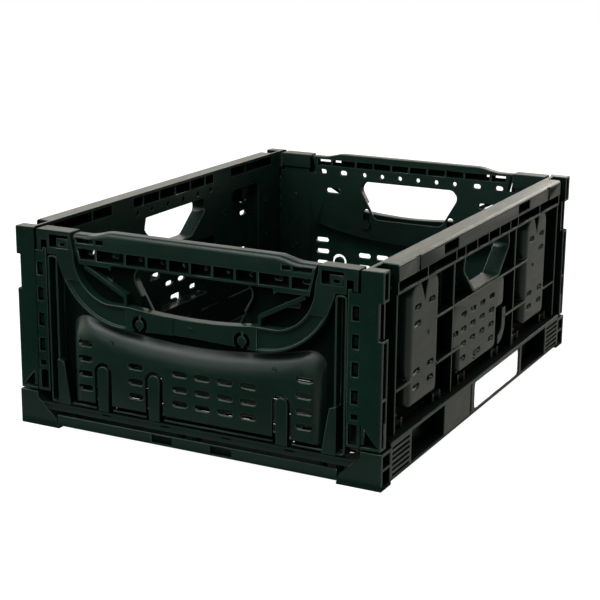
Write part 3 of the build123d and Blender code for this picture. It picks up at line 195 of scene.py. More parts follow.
def rubbed_share(tree, coords, z):
    """How much a place near the ground is rubbed."""
    scratch = noise(tree, stretched(tree, coords, SCRATCH_STRETCH), *SCRATCH)
    scratched = span(tree, scratch, *SCRATCH_SPAN, 0, SCRATCH_SHARE)
    return reckon(tree, "MULTIPLY", span(tree, z, *RUB_LEVEL, 1, 0), scratched)


def dusty_share(tree, coords, normal, most):
    """How much dust lies on a place: only faces that look up hold it."""
    level = span(tree, axes(tree, normal)[2], *DUST_FACING, 0, 1)
    settled = span(tree, noise(tree, coords, *DUST_CLOUD), *DUST_SPAN, DUST_LEAST * most, most)
    return reckon(tree, "MULTIPLY", level, settled)


def plastic_colour(tree, coords, colour, dusty):
    """The four layers of colour over each other; the second is painted shade."""
    x, y, z = axes(tree, coords)
    cloud = span(tree, noise(tree, coords, *CLOUD), *CLOUD_SPAN, 0, 1)
    body = tinted(tree, cloud, colour, times(colour, CLOUD_GAIN))
    # Painted shade in the lower inside of the crate
    body = tinted(tree, painted_shade_share(tree, x, y, z), body, times(colour, PAINTED_SHADE_GAIN))
    body = tinted(tree, rubbed_share(tree, coords, z), body, RUB)
    return tinted(tree, dusty, body, DUST)


# %% [markdown]
# The surface comes next. A spark-eroded mould leaves a fine grain, and the melt freezes while it flows, so
# the polish and a faint relief run in streaks along each moulding. Three bumps lie over each other: slow
# waves, the streaks and the grain. Each kind of moulding has a material of its own, because each comes
# from its own mould. Three more finishes serve places instead of mouldings: worn edges are paler, partly
# from rub wear and partly as a painted highlight, the inner floor is matt, and recesses are matt and
# darker with painted shade.

# %% Finishes of the plastic
PLASTIC_IOR = 1.49
WAVE, WAVE_BUMP = (38, 1), (0.0006, 0.35)
FLOW, FLOW_SPAN, FLOW_BUMP = (1, 3), (0.30, 0.72), (0.00005, 0.15)
GRAIN, GRAIN_BUMP = (2600, 2), (0.00004, 0.25)
DUST_ROUGHENS = 0.25


def crate_plastic(name, colour, polish, streaks, dust, specular):
    """Satin moulded plastic with grain, waves, flow streaks, rub marks, dust and painted shade low inside.
    """
    finish = bpy.data.materials.new(name)
    finish.use_nodes = True
    tree = finish.node_tree
    shader = tree.nodes["Principled BSDF"]
    shader.inputs["IOR"].default_value = PLASTIC_IOR
    shader.inputs["Specular IOR Level"].default_value = specular
    place = tree.nodes.new("ShaderNodeTexCoord")
    coords = place.outputs["Object"]
    dusty = dusty_share(tree, coords, place.outputs["Normal"], dust)
    tree.links.new(plastic_colour(tree, coords, colour, dusty), shader.inputs["Base Color"])
    flow = noise(tree, stretched(tree, coords, streaks), *FLOW)
    rough = reckon(tree, "MULTIPLY_ADD", dusty, DUST_ROUGHENS, span(tree, flow, *FLOW_SPAN, *polish))
    tree.links.new(rough, shader.inputs["Roughness"])
    relief = bumped(tree, noise(tree, coords, *WAVE), *WAVE_BUMP)
    relief = bumped(tree, flow, *FLOW_BUMP, relief)
    relief = bumped(tree, noise(tree, coords, *GRAIN), *GRAIN_BUMP, relief)
    tree.links.new(relief, shader.inputs["Normal"])
    return finish


DEEP_GREEN = (0.0032, 0.0168, 0.0114, 1)
# Paler green of the rounded edges: partly rub wear, partly a painted highlight
WORN_HIGHLIGHT_GREEN = (0.0140, 0.0360, 0.0260, 1)
# Near-black green of the recess finish: painted shade for hollows
SHADED_GREEN = (0.0008, 0.0050, 0.0036, 1)
ALONG_X = (60, 420, 420)
ALONG_Y = (420, 60, 420)
SATIN, MATT, DULL = 0.5, 0.1, 0.06
# Material, colour, roughness from and to, streaks, dust and specular level
FINISHES = {
    "base": ("plastic_base", DEEP_GREEN, (0.28, 0.38), ALONG_Y, 0.03, SATIN),
    "floor": ("plastic_floor", DEEP_GREEN, (0.70, 0.85), ALONG_Y, 0.02, MATT),
    "long_wall": ("plastic_long_wall", DEEP_GREEN, (0.26, 0.34), ALONG_Y, 0.04, SATIN),
    "end_wall": ("plastic_end_wall", DEEP_GREEN, (0.32, 0.42), ALONG_X, 0.04, SATIN),
    "handle": ("plastic_handle", DEEP_GREEN, (0.32, 0.42), ALONG_X, 0.04, SATIN),
    # Worn finish: partly rub wear, partly a painted highlight on rounded edges
    "worn_highlight": ("plastic_worn_highlight_edge", WORN_HIGHLIGHT_GREEN, (0.36, 0.48), ALONG_Y, 0.05, SATIN),
    # Recess finish: painted shade, darker and matt
    "recess_painted_shade": ("plastic_recess_painted_shade", SHADED_GREEN, (0.60, 0.75), ALONG_X, 0.01, DULL),
}
finishes = {key: crate_plastic(*row) for key, row in FINISHES.items()}
print("finishes", sorted(finishes))

# %% [markdown]
# No moulded edge is truly sharp: steel is cut with a cutter that has a radius, and hands and other
# crates rub the rest away. The CAD solids have sharp edges, which keeps them exact, so a Bevel
# modifier rounds copies of them. A thin rib or a wedge tip has no room for the rounding and would come
# out torn. So each edge gets a weight: none where a face beside it is too narrow or another edge
# leaves it at a narrow angle, and less where a short edge has to share its length.

# %% Room for a rounding
EDGE_ROUND = 0.0006
ACUTE_TURN = math.radians(28)
NARROW_SINE = 0.3
USABLE_LENGTH = 0.9


def face_depth(edge, face):
    """How far a face reaches away from one of its edges."""
    start = edge.verts[0].co
    along = (edge.verts[1].co - start).normalized()
    reach = 0
    for corner in face.verts:
        away = corner.co - start
        reach = max(reach, (away - along * away.dot(along)).length)
    return reach


def has_acute_neighbour(edge, sharp):
    """True where another sharp edge leaves one of the ends at a narrow angle."""
    for corner in edge.verts:
        way = edge.other_vert(corner).co - corner.co
        for other in corner.link_edges:
            if other is edge or other not in sharp:
                continue
            if way.angle(other.other_vert(corner).co - corner.co, math.pi) < ACUTE_TURN:
                return True
    return False


def corner_need(loop, edge, other, weight):
    """Length that the rounding of another edge takes from an edge at their corner of a face."""
    angle = loop.calc_angle()
    if not other[weight] or not loop.is_convex or math.sin(angle) < NARROW_SINE:
        return 0
    return EDGE_ROUND * other[weight] / (math.tan(angle / 2) if edge[weight] else math.sin(angle))


def ease_short_edges(face, weight):
    """Lowers the weights round each edge of a face that is too short for its neighbours' roundings."""
    for loop in face.loops:
        ahead = loop.link_loop_next
        edge, before, after = loop.edge, loop.link_loop_prev.edge, ahead.edge
        need = corner_need(loop, edge, before, weight) + corner_need(ahead, edge, after, weight)
        room = USABLE_LENGTH * edge.calc_length()
        if need > room:
            for tight in (before, edge, after):
                tight[weight] *= room / need


# %% Edge weights
# Finish numbers: the worn one is partly rub wear, partly a painted highlight; the recess one is painted
# shade
PLAIN, WORN_HIGHLIGHT, FLOOR, RECESS_PAINTED_SHADE = range(4)
SHARP_TURN = math.radians(33)
LEAST_DEPTH = 2.1 * EDGE_ROUND
LEAST_LENGTH = 0.3 * EDGE_ROUND
ROOM_PASSES = 3


def sharp_edges(shape):
    """Marks the sharp edges of a shape and returns them."""
    sharp = {edge for edge in shape.edges
             if len(edge.link_faces) == 2 and edge.calc_face_angle(0) > SHARP_TURN}
    for edge in shape.edges:
        edge.smooth = edge not in sharp
    return sharp


def weigh_edges(shape, sharp, weight):
    """Gives a bevel weight to the sharp edges with room for a rounding that are not inside a recess."""
    count = 0
    for edge in sharp:
        roomy = min(face_depth(edge, face) for face in edge.link_faces) > LEAST_DEPTH
        roomy = roomy and edge.calc_length() > LEAST_LENGTH
        hidden = {face.material_index for face in edge.link_faces} in ({RECESS_PAINTED_SHADE}, {RECESS_PAINTED_SHADE, FLOOR})
        if roomy and not hidden and not has_acute_neighbour(edge, sharp):
            edge[weight] = 1
            count += 1
    for _ in range(ROOM_PASSES):
        for face in shape.faces:
            ease_short_edges(face, weight)
    return count


# %% [markdown]
# Hollows look nearly black on the real crate, although their plastic is the same. In the render they came
# out too pale, so they take the recess finish, a painted shade of near-black matt green. They are found by
# what makes them dark: rays leave each smooth patch of faces, and where many of them meet plastic close
# by, the patch is a recess.
# Painting a map by hand would do it too, but it would have to be redone after each change of shape.

# %% Covered patches
PATCH_SAMPLES = 8
RAYS = 12
COVER_REACH = 0.018
RAY_LIFT = 0.0002
SPREAD = (0.7549, 0.5698)
GOLDEN_ANGLE = 2.39996


def whole_crate():
    """Search tree of all CAD nodes at rest."""
    corners, faces = [], []
    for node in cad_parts.values():
        first = len(corners)
        corners += [corner.co.copy() for corner in node.data.vertices]
        faces += [[first + i for i in face.vertices] for face in node.data.polygons]
    return BVHTree.FromPolygons(corners, faces)


def smooth_patches(shape, sharp):
    """Groups of faces that join without a sharp edge."""
    seen = set()
    for first in shape.faces:
        if first in seen:
            continue
        seen.add(first)
        patch = [first]
        for face in patch:
            for edge in face.edges:
                if edge not in sharp:
                    fresh = [near for near in edge.link_faces if near not in seen]
                    seen.update(fresh)
                    patch += fresh
        yield patch


def ways_out(normal, number):
    """Directions in front of a face, spread evenly and turned further for each sample."""
    across = normal.orthogonal().normalized()
    upward = normal.cross(across)
    for step in range(RAYS):
        angle = GOLDEN_ANGLE * (step + number * RAYS)
        lean = math.sqrt((step + 0.5) / RAYS)
        flat = across * math.cos(angle) + upward * math.sin(angle)
        yield flat * lean + normal * math.sqrt(1 - lean * lean)


def covered_share(patch, triangles):
    """Share of the directions in front of a patch that meet plastic close by."""
    cuts = [(face.normal, cut) for face in patch for cut in triangles[face]]
    areas = np.cumsum([(cut[1] - cut[0]).cross(cut[2] - cut[0]).length for _, cut in cuts])
    met = 0
    for number in range(PATCH_SAMPLES):
        chosen = np.searchsorted(areas, areas[-1] * (number + 0.5) / PATCH_SAMPLES)
        normal, cut = cuts[int(chosen)]
        first, second = (number * SPREAD[0]) % 1, (number * SPREAD[1]) % 1
        if first + second > 1:
            first, second = 1 - first, 1 - second
        spot = cut[0] + (cut[1] - cut[0]) * first + (cut[2] - cut[0]) * second + normal * RAY_LIFT
        for way in ways_out(normal, number):
            met += crate_search.ray_cast(spot, way, COVER_REACH)[0] is not None
    return met / (PATCH_SAMPLES * RAYS)


crate_search = whole_crate()
print("rays for each patch", PATCH_SAMPLES * RAYS)

# %% [markdown]
# A few places need a rule of their own, because they are dark or matt for another reason than plastic
# close by. The inner floor is only matt. The lugs in the holes of the posts, the slots in the lip of the
# base and the web behind the lock handles get painted shade. Each is a range of places in the crate's
# frame. Leaf springs and wide curved patches stay plain, or the whole of a bulged panel would turn dark
# with painted shade.

# %% Finish by place
FLOOR_REACH = (0.135, 0.182, 0.004)
LUG_REACH = (0.124, 0.194, 0.128)
SLOT_REACH = (0.035, 0.190, 0.1990, 0.0099)
WEB_LEVEL = (0.1908, 0.1918)
WEB_START = 0.095
COVERED = 0.45
SMALL_PATCH = 0.0006
SAME_WAY = 0.99


def place_finish(node_name, patch, share):
    """Finish of a patch: the inner floor is matt, lugs, slots and recesses are matt and dark with painted
    shade.
    """
    spot = max(patch, key=lambda face: face.calc_area()).calc_center_median()
    x, y, z = abs(spot.x), abs(spot.y), spot.z
    base, end_wall = node_name == "base_tray", node_name.startswith("end_wall")
    if base and x < FLOOR_REACH[0] and y < FLOOR_REACH[1] and z > FLOOR_REACH[2]:
        return FLOOR
    # Lugs in the post holes and slots in the base lip get painted shade
    lug = end_wall and x > LUG_REACH[0] and y > LUG_REACH[1] and z < LUG_REACH[2]
    slot = base and x < SLOT_REACH[0] and SLOT_REACH[1] < y < SLOT_REACH[2] and z < SLOT_REACH[3]
    flat = all(face.normal.dot(patch[0].normal) > SAME_WAY for face in patch)
    small = sum(face.calc_area() for face in patch) < SMALL_PATCH
    hollow = share > COVERED and (flat or small) and not node_name.startswith("lock_spring")
    return RECESS_PAINTED_SHADE if lug or slot or hollow else PLAIN


def is_shaded_web(node_name, face):
    """True for the flat web of an end wall round the hand opening, behind the lock handle, which gets
    painted shade.
    """
    spot = face.calc_center_median()
    level = WEB_LEVEL[0] < abs(spot.y) < WEB_LEVEL[1]
    outward = face.normal.y * spot.y > SAME_WAY * abs(spot.y)
    return node_name.startswith("end_wall") and level and outward and spot.z > WEB_START


# %% [markdown]
# A Bevel can leave two faults. A strip between two roundings can come out twisted, and a face with
# many corners can get an outline that crosses itself, so that its triangles lie over each other. Both
# can show as hairlines. Twisted strips lose their rounding. Crossed faces are cut again: a Delaunay
# triangulation splits the outline where it crosses, and a triangle stays if the outline goes round it.

# %% Crossed faces cut again
MILLIMETRES = 1000
SAME_POINT = 1e-5
WHOLE_HULL = 0
LEAST_AREA = 1e-10
FOLDED = 0.5


def times_round(ring, spot):
    """How often a closed ring of flat points goes round a spot."""
    x, y = ring[:, 0], ring[:, 1]
    next_x, next_y = np.roll(x, -1), np.roll(y, -1)
    side = (next_x - x) * (spot[1] - y) - (spot[0] - x) * (next_y - y)
    rising = (y <= spot[1]) & (next_y > spot[1]) & (side > 0)
    falling = (y > spot[1]) & (next_y <= spot[1]) & (side < 0)
    return int(rising.sum()) - int(falling.sum())


def cut_flat_face(face, spots):
    """Cuts a flat face into clean triangles; points where its outline crosses itself join the spots."""
    origin, across = spots[face.vertices[0]], face.normal.orthogonal().normalized()
    upward = face.normal.cross(across)
    offsets = [spots[i] - origin for i in face.vertices]
    ring = [Vector((away.dot(across), away.dot(upward))) * MILLIMETRES for away in offsets]
    sides = [(i, (i + 1) % len(ring)) for i in range(len(ring))]
    points, _, cuts, sources, _, _ = delaunay_2d_cdt(ring, sides, [], WHOLE_HULL, SAME_POINT, True)
    numbers = []
    for point, source in zip(points, sources):
        if source:
            numbers.append(face.vertices[source[0]])
        else:
            numbers.append(len(spots))
            spots.append(origin + (across * point.x + upward * point.y) / MILLIMETRES)
    outline = np.array(ring)
    for cut in cuts:
        middle = sum((points[i] for i in cut), Vector((0, 0))) / len(cut)
        if times_round(outline, middle) > 0:
            yield tuple(numbers[i] for i in cut)


def folded_faces(mesh):
    """Numbers of the faces whose own triangles lie over each other."""
    mesh.calc_loop_triangles()
    return {tri.polygon_index for tri in mesh.loop_triangles
            if tri.area > LEAST_AREA and tri.normal.dot(mesh.polygons[tri.polygon_index].normal) < FOLDED}


# %% Rounding made real
TWIST_PASSES = 3
TWIST_REACH = 0.0007
STRIP_CORNERS = 4
LEAST_SQUARE = 1e-12


def rounded_mesh(piece):
    """The mesh of a piece with its modifiers."""
    piece.data.update_tag()
    graph = bpy.context.evaluated_depsgraph_get()
    graph.update()
    return piece.evaluated_get(graph).data


def unround_twisted(piece):
    """Takes the rounding off the edges whose strips come out twisted."""
    weights = piece.data.attributes["bevel_weight_edge"].data
    corners = np.array([corner.co for corner in piece.data.vertices])
    ends = np.array([edge.vertices for edge in piece.data.edges])
    start, way = corners[ends[:, 0]], corners[ends[:, 1]] - corners[ends[:, 0]]
    length = np.maximum((way * way).sum(axis=1), LEAST_SQUARE)
    sharpened = set()
    for _ in range(TWIST_PASSES):
        rounded = rounded_mesh(piece)
        for number in folded_faces(rounded):
            strip = rounded.polygons[number]
            if len(strip.vertices) > STRIP_CORNERS:
                continue
            away = np.array(strip.center) - start
            share = np.clip((away * way).sum(axis=1) / length, 0, 1)
            near = np.linalg.norm(away - way * share[:, None], axis=1) < TWIST_REACH
            sharpened.update(int(i) for i in np.nonzero(near)[0] if weights[int(i)].value > 0)
        for number in sharpened:
            weights[number].value = 0
    return len(sharpened)


def plain_mesh(piece, name):
    """The mesh with its rounding made real, and its folded faces cut into clean triangles."""
    rounded = rounded_mesh(piece)
    folded = {number for number in folded_faces(rounded)
              if len(rounded.polygons[number].vertices) > STRIP_CORNERS}
    spots = [corner.co.copy() for corner in rounded.vertices]
    faces, normals, kinds = [], [], []
    for face in rounded.polygons:
        if face.index in folded:
            pieces = list(cut_flat_face(face, spots))
            normals += [face.normal.copy()] * (3 * len(pieces))
        else:
            pieces = [tuple(face.vertices)]
            normals += [rounded.corner_normals[i].vector.copy() for i in face.loop_indices]
        faces += pieces
        kinds += [face.material_index] * len(pieces)
    mesh = bpy.data.meshes.new(name)
    mesh.from_pydata(spots, [], faces)
    mesh.polygons.foreach_set("material_index", kinds)
    mesh.polygons.foreach_set("use_smooth", [True] * len(faces))
    for finish in piece.data.materials:
        mesh.materials.append(finish)
    mesh.normals_split_custom_set(normals)
    print(name, "faces cut again", len(folded), "faces", len(faces))
    return mesh


# %% [markdown]
# Now each moulding is copied. Its loose CAD triangles are merged into clean faces, the faces get their
# finish, the edges their weight, and the Bevel is made real. The rounded strips take the paler worn
# finish: partly rub wear, because that is where the green is rubbed, and partly a painted highlight along
# the edges. Each copy stands in for its CAD node and rides on the same body, so it moves with the joints.

# %% Rounded copies
SAME_CORNER = 3e-6
FLAT_TURN = math.radians(0.4)
BEVEL_STEPS = 2


def merged_shape(node_name):
    """Copy of a CAD node with its triangles merged into clean faces."""
    shape = bmesh.new()
    shape.from_mesh(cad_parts[node_name].data)
    bmesh.ops.remove_doubles(shape, verts=shape.verts, dist=SAME_CORNER)
    bmesh.ops.dissolve_limit(shape, angle_limit=FLAT_TURN, verts=shape.verts, edges=shape.edges)
    return shape


def give_finishes(shape, sharp, node_name):
    """Gives each face of a shape its finish and returns the number of recesses."""
    triangles = {face: [] for face in shape.faces}
    for cut in shape.calc_loop_triangles():
        triangles[cut[0].face].append([loop.vert.co for loop in cut])
    recesses = 0
    for patch in smooth_patches(shape, sharp):
        kind = place_finish(node_name, patch, covered_share(patch, triangles))
        recesses += kind == RECESS_PAINTED_SHADE
        for face in patch:
            face.smooth = True
            # Hollows, lugs, slots and the web behind the handle take the painted shade of the recess
            # finish
            face.material_index = RECESS_PAINTED_SHADE if is_shaded_web(node_name, face) else kind
    return recesses


def add_bevel(piece, width):
    """Bevel that follows the edge weights and gives its strips the worn finish: rub wear and a painted
    highlight.
    """
    bevel = piece.modifiers.new("edge_round", "BEVEL")
    bevel.limit_method = "WEIGHT"
    bevel.width = width
    bevel.segments = BEVEL_STEPS
    bevel.use_clamp_overlap = False
    bevel.harden_normals = True
    # The rounded strips get the worn finish, partly rub wear and partly a painted highlight
    bevel.material = WORN_HIGHLIGHT
    return bevel


def rounded_copy(node_name, piece_name, finish, width):
    """Merged copy of a CAD node with rounded edges, slightly worn and with a painted highlight."""
    shape = merged_shape(node_name)
    weight = shape.edges.layers.float.new("bevel_weight_edge")
    sharp = sharp_edges(shape)
    recesses = give_finishes(shape, sharp, node_name)
    rounded = weigh_edges(shape, sharp, weight)
    mesh = bpy.data.meshes.new(piece_name + "_sharp")
    shape.to_mesh(mesh)
    shape.free()
    for kind in (finish, "worn_highlight", "floor", "recess_painted_shade"):
        mesh.materials.append(finishes[kind])
    piece = bpy.data.objects.new(piece_name, mesh)
    bpy.context.scene.collection.objects.link(piece)
    bevel = add_bevel(piece, width)
    sharpened = unround_twisted(piece)
    piece.data = plain_mesh(piece, piece_name)
    piece.modifiers.remove(bevel)
    bpy.data.meshes.remove(mesh)
    print(piece_name, "rounded edges", rounded - sharpened, "recesses", recesses)
    return piece


# %% Mouldings
MOULDINGS = (
    ("base_tray", "crate_body", "base"),
    ("long_wall_right", "crate_body", "long_wall"),
    ("long_wall_left", "crate_body", "long_wall"),
    ("end_wall_front", "end_wall_front", "end_wall"),
    ("end_wall_back", "end_wall_back", "end_wall"),
    ("lock_handle_front", "lock_handle_front", "handle"),
    ("lock_handle_back", "lock_handle_back", "handle"),
)
for node_name, body, finish in MOULDINGS:
    piece = rounded_copy(node_name, node_name + "_moulding", finish, EDGE_ROUND)
    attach(piece, body)
    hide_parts(node_name)

# %% [markdown]
# Two leaf springs stand on each lock handle and press up under the shelf of the end wall. When the handle
# is lifted, a leaf bends flatter, while its root rises with the handle and its tip stays under the shelf.
# A shape key or an armature could bend it. Here each leaf is rounded and rides on its handle, so it
# follows the joint but keeps its shape.

# %% Leaf springs
for end in ("front", "back"):
    for side in ("left", "right"):
        node_name = f"lock_spring_{end}_{side}"
        low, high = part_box(node_name)
        leaf = rounded_copy(node_name, node_name + "_leaf", "handle", EDGE_ROUND / 2)
        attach(leaf, f"lock_handle_{end}")
        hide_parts(node_name)
        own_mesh(leaf)

# %% [markdown]
# The label is a white plastic film on the near rail of the base. It stays blank here. Even a blank
# film isn't one flat white: its coat is a little uneven, its surface has the fine orange-peel of a
# coated film, and scuffs and dust grey it slightly towards the lower edge. It keeps its CAD mesh,
# since a film is too thin to round.

# %% Label film
FILM, FILM_SHADE = (0.93, 0.94, 0.93, 1), (0.89, 0.90, 0.89, 1)
SOIL = (0.42, 0.42, 0.39, 1)
SOIL_LEVEL = (0.006, 0.016)
SCUFF_STRETCH = (1, 220, 700)
SCUFF, SCUFF_SPAN, SCUFF_SHARE = (1, 4, 0.7), (0.5, 0.75), 0.5
COAT, COAT_SPAN = (160, 3), (0.4, 0.7)
SHEEN, SHEEN_SPAN, SHEEN_ROUGHNESS = (90, 2), (0.3, 0.7), (0.38, 0.55)
PEEL, PEEL_BUMP = (1400, 2), (0.00004, 0.3)
FILM_SPECULAR = 0.4
label_finish = bpy.data.materials.new("label_film")
label_finish.use_nodes = True
tree = label_finish.node_tree
shader = tree.nodes["Principled BSDF"]
shader.inputs["Specular IOR Level"].default_value = FILM_SPECULAR
coords = tree.nodes.new("ShaderNodeTexCoord").outputs["Object"]
film = tinted(tree, span(tree, noise(tree, coords, *COAT), *COAT_SPAN, 0, 1), FILM, FILM_SHADE)
scuffs = noise(tree, stretched(tree, coords, SCUFF_STRETCH), *SCUFF)
soil = reckon(tree, "MULTIPLY", span(tree, axes(tree, coords)[2], *SOIL_LEVEL, 1, 0),
              span(tree, scuffs, *SCUFF_SPAN, 0, SCUFF_SHARE))
tree.links.new(tinted(tree, soil, film, SOIL), shader.inputs["Base Color"])
sheen = span(tree, noise(tree, coords, *SHEEN), *SHEEN_SPAN, *SHEEN_ROUGHNESS)
tree.links.new(sheen, shader.inputs["Roughness"])
tree.links.new(bumped(tree, noise(tree, coords, *PEEL), *PEEL_BUMP), shader.inputs["Normal"])
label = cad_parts["label_blank"]
label.data.materials.clear()
label.data.materials.append(label_finish)

# %% [markdown]
# A mould pushes its part out with steel pins, and each pin leaves a faint ring. A gate, where the
# plastic came in, leaves a ring with a small stub. Dozens of them are scattered over the hidden sides
# of any crate. They repeat, so a Geometry Nodes tree makes them: a ring from two curve circles, a
# stub, one copy on each point, turned to the surface by a stored direction.

# %% Mould mark tree
PIN_MARK = {"Ring Radius": 0.0030, "Bead Radius": 0.00025, "Stub Radius": 0.0004, "Stub Height": 0.0003}
GATE_MARK = {"Ring Radius": 0.0017, "Bead Radius": 0.00035, "Stub Radius": 0.0007, "Stub Height": 0.0009}
RING_SIDES, BEAD_SIDES, STUB_SIDES = 18, 4, 10
STUB_TAPER = 0.6
marks = bpy.data.node_groups.new("mould_marks", "GeometryNodeTree")
new_socket = marks.interface.new_socket
new_socket("Geometry", in_out="INPUT", socket_type="NodeSocketGeometry")
size_sockets = {}
for socket_name in PIN_MARK:
    socket = new_socket(socket_name, in_out="INPUT", socket_type="NodeSocketFloat")
    size_sockets[socket_name] = socket.identifier
material_socket = new_socket("Finish", in_out="INPUT", socket_type="NodeSocketMaterial").identifier
new_socket("Geometry", in_out="OUTPUT", socket_type="NodeSocketGeometry")
entry = marks.nodes.new("NodeGroupInput")
leave = marks.nodes.new("NodeGroupOutput")
ring = add_node(marks, "GeometryNodeCurvePrimitiveCircle", Resolution=RING_SIDES)
bead = add_node(marks, "GeometryNodeCurvePrimitiveCircle", Resolution=BEAD_SIDES)
sweep = marks.nodes.new("GeometryNodeCurveToMesh")
stub = add_node(marks, "GeometryNodeMeshCone", Vertices=STUB_SIDES)
taper = marks.nodes.new("ShaderNodeMath")
taper.operation = "MULTIPLY"
taper.inputs[1].default_value = STUB_TAPER
mark = marks.nodes.new("GeometryNodeJoinGeometry")
copies = marks.nodes.new("GeometryNodeInstanceOnPoints")
facing = marks.nodes.new("GeometryNodeInputNamedAttribute")
facing.data_type = "FLOAT_VECTOR"
facing.inputs["Name"].default_value = "facing"
turn = marks.nodes.new("FunctionNodeAlignRotationToVector")
turn.axis = "Z"
solid = marks.nodes.new("GeometryNodeRealizeInstances")
paint = marks.nodes.new("GeometryNodeSetMaterial")
print("mark tree nodes", len(marks.nodes))

# %% Mould mark links
link = marks.links.new
link(entry.outputs["Ring Radius"], ring.inputs["Radius"])
link(entry.outputs["Bead Radius"], bead.inputs["Radius"])
link(ring.outputs["Curve"], sweep.inputs["Curve"])
link(bead.outputs["Curve"], sweep.inputs["Profile Curve"])
link(entry.outputs["Stub Radius"], stub.inputs["Radius Bottom"])
link(entry.outputs["Stub Radius"], taper.inputs[0])
link(taper.outputs[0], stub.inputs["Radius Top"])
link(entry.outputs["Stub Height"], stub.inputs["Depth"])
link(sweep.outputs["Mesh"], mark.inputs["Geometry"])
link(stub.outputs["Mesh"], mark.inputs["Geometry"])
link(entry.outputs["Geometry"], copies.inputs["Points"])
link(mark.outputs["Geometry"], copies.inputs["Instance"])
link(facing.outputs["Attribute"], turn.inputs["Vector"])
link(turn.outputs["Rotation"], copies.inputs["Rotation"])
link(copies.outputs["Instances"], solid.inputs["Geometry"])
link(solid.outputs["Geometry"], paint.inputs["Geometry"])
link(entry.outputs["Finish"], paint.inputs["Material"])
link(paint.outputs["Geometry"], leave.inputs["Geometry"])
print("mark tree links", len(marks.links))

# %% [markdown]
# Where the marks sit on this crate is mostly a guess: pins in even rows on the inner sides, gates on
# the outer sides of pads, panels and grips. Their points are found by casting rays at the CAD mesh, so
# each mark sits on the plastic, whatever its slope. A ray that misses or only grazes a face leaves no
# mark.

# %% Helpers for marks
FACE_ON = -0.5


def surface_points(node_name, shots):
    """Casts rays at a CAD node and returns where they land and how the surface faces there."""
    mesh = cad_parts[node_name].data
    corners = [corner.co for corner in mesh.vertices]
    search = BVHTree.FromPolygons(corners, [face.vertices for face in mesh.polygons])
    landed = []
    for start, way in shots:
        spot, normal, _, _ = search.ray_cast(Vector(start), Vector(way))
        if spot is not None and normal.dot(Vector(way)) < FACE_ON:
            landed.append((spot, normal))
    return landed


def mould_marks(piece_name, body, node_name, shots, sizes, finish):
    """Makes one mesh of ring marks on a node and lets it ride on the node's body."""
    landed = surface_points(node_name, shots)
    mesh = bpy.data.meshes.new(piece_name + "_points")
    mesh.from_pydata([spot for spot, _ in landed], [], [])
    way = mesh.attributes.new("facing", "FLOAT_VECTOR", "POINT")
    for index, (_, normal) in enumerate(landed):
        way.data[index].vector = normal
    scatter = bpy.data.objects.new(piece_name + "_points", mesh)
    bpy.context.scene.collection.objects.link(scatter)
    nodes = scatter.modifiers.new("marks", "NODES")
    nodes.node_group = marks
    for socket_name, value in sizes.items():
        nodes[size_sockets[socket_name]] = value
    nodes[material_socket] = finishes[finish]
    evaluated = scatter.evaluated_get(bpy.context.evaluated_depsgraph_get())
    result = bpy.data.meshes.new_from_object(evaluated)
    result.name = piece_name
    bpy.data.objects.remove(scatter)
    piece = bpy.data.objects.new(piece_name, result)
    bpy.context.scene.collection.objects.link(piece)
    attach(piece, body)
    print(piece_name, "marks", len(landed), "of", len(shots), "faces", len(result.polygons))


# %% Marks on every moulding
MM = 0.001
COLUMN_PITCH, ROW_PITCH = 0.033, 0.026
ABOVE_FLOOR = 0.05
BESIDE, BEFORE = 0.2, 0.25
LONG_GATE_LEVEL, END_GATE_LEVEL, GRIP_GATE_LEVEL = 0.0915, 0.0743, 0.0935
floor_shots = [((COLUMN_PITCH * column + COLUMN_PITCH / 2, ROW_PITCH * row + ROW_PITCH / 2, ABOVE_FLOOR),
                (0, 0, -1)) for column in range(-3, 3) for row in (-5, -3, -1, 0, 2, 4)]
mould_marks("floor_pin_marks", "crate_body", "base_tray", floor_shots, PIN_MARK, "base")
for side, name in ((1, "right"), (-1, "left")):
    node_name = f"long_wall_{name}"
    shots = [((0, along * MM, height * MM), (side, 0, 0))
             for along in (-160, -82, 82, 160) for height in (48, 80, 112)]
    mould_marks(f"{node_name}_pin_marks", "crate_body", node_name, shots, PIN_MARK, "long_wall")
    gates = [((side * BESIDE, side * along * MM, LONG_GATE_LEVEL), (-side, 0, 0))
             for along in (-114.5, 114.5)]
    mould_marks(f"{node_name}_gate_marks", "crate_body", node_name, gates, GATE_MARK, "long_wall")
for side, name in ((-1, "front"), (1, "back")):
    node_name, handle = f"end_wall_{name}", f"lock_handle_{name}"
    shots = [((across * MM, 0, height * MM), (0, side, 0))
             for across in (-117.5, 117.5) for height in (40, 64, 88, 112)]
    mould_marks(f"{node_name}_pin_marks", node_name, node_name, shots, PIN_MARK, "end_wall")
    gates = [((across * MM, side * BEFORE, END_GATE_LEVEL), (0, -side, 0)) for across in (-67, 67)]
    mould_marks(f"{node_name}_gate_marks", node_name, node_name, gates, GATE_MARK, "end_wall")
    grip = [((0, side * BEFORE, GRIP_GATE_LEVEL), (0, -side, 0))]
    mould_marks(f"{handle}_gate_mark", handle, handle, grip, GATE_MARK, "handle")

# %% [markdown]
# The studio is plain: a pale floor that runs out of the picture and weak daylight from all round. The
# floor glows, so that it comes out nearly white beside a nearly black crate. Neither of the two shows
# in reflections, as black cards would see to on a real set, or they would grey the plastic.

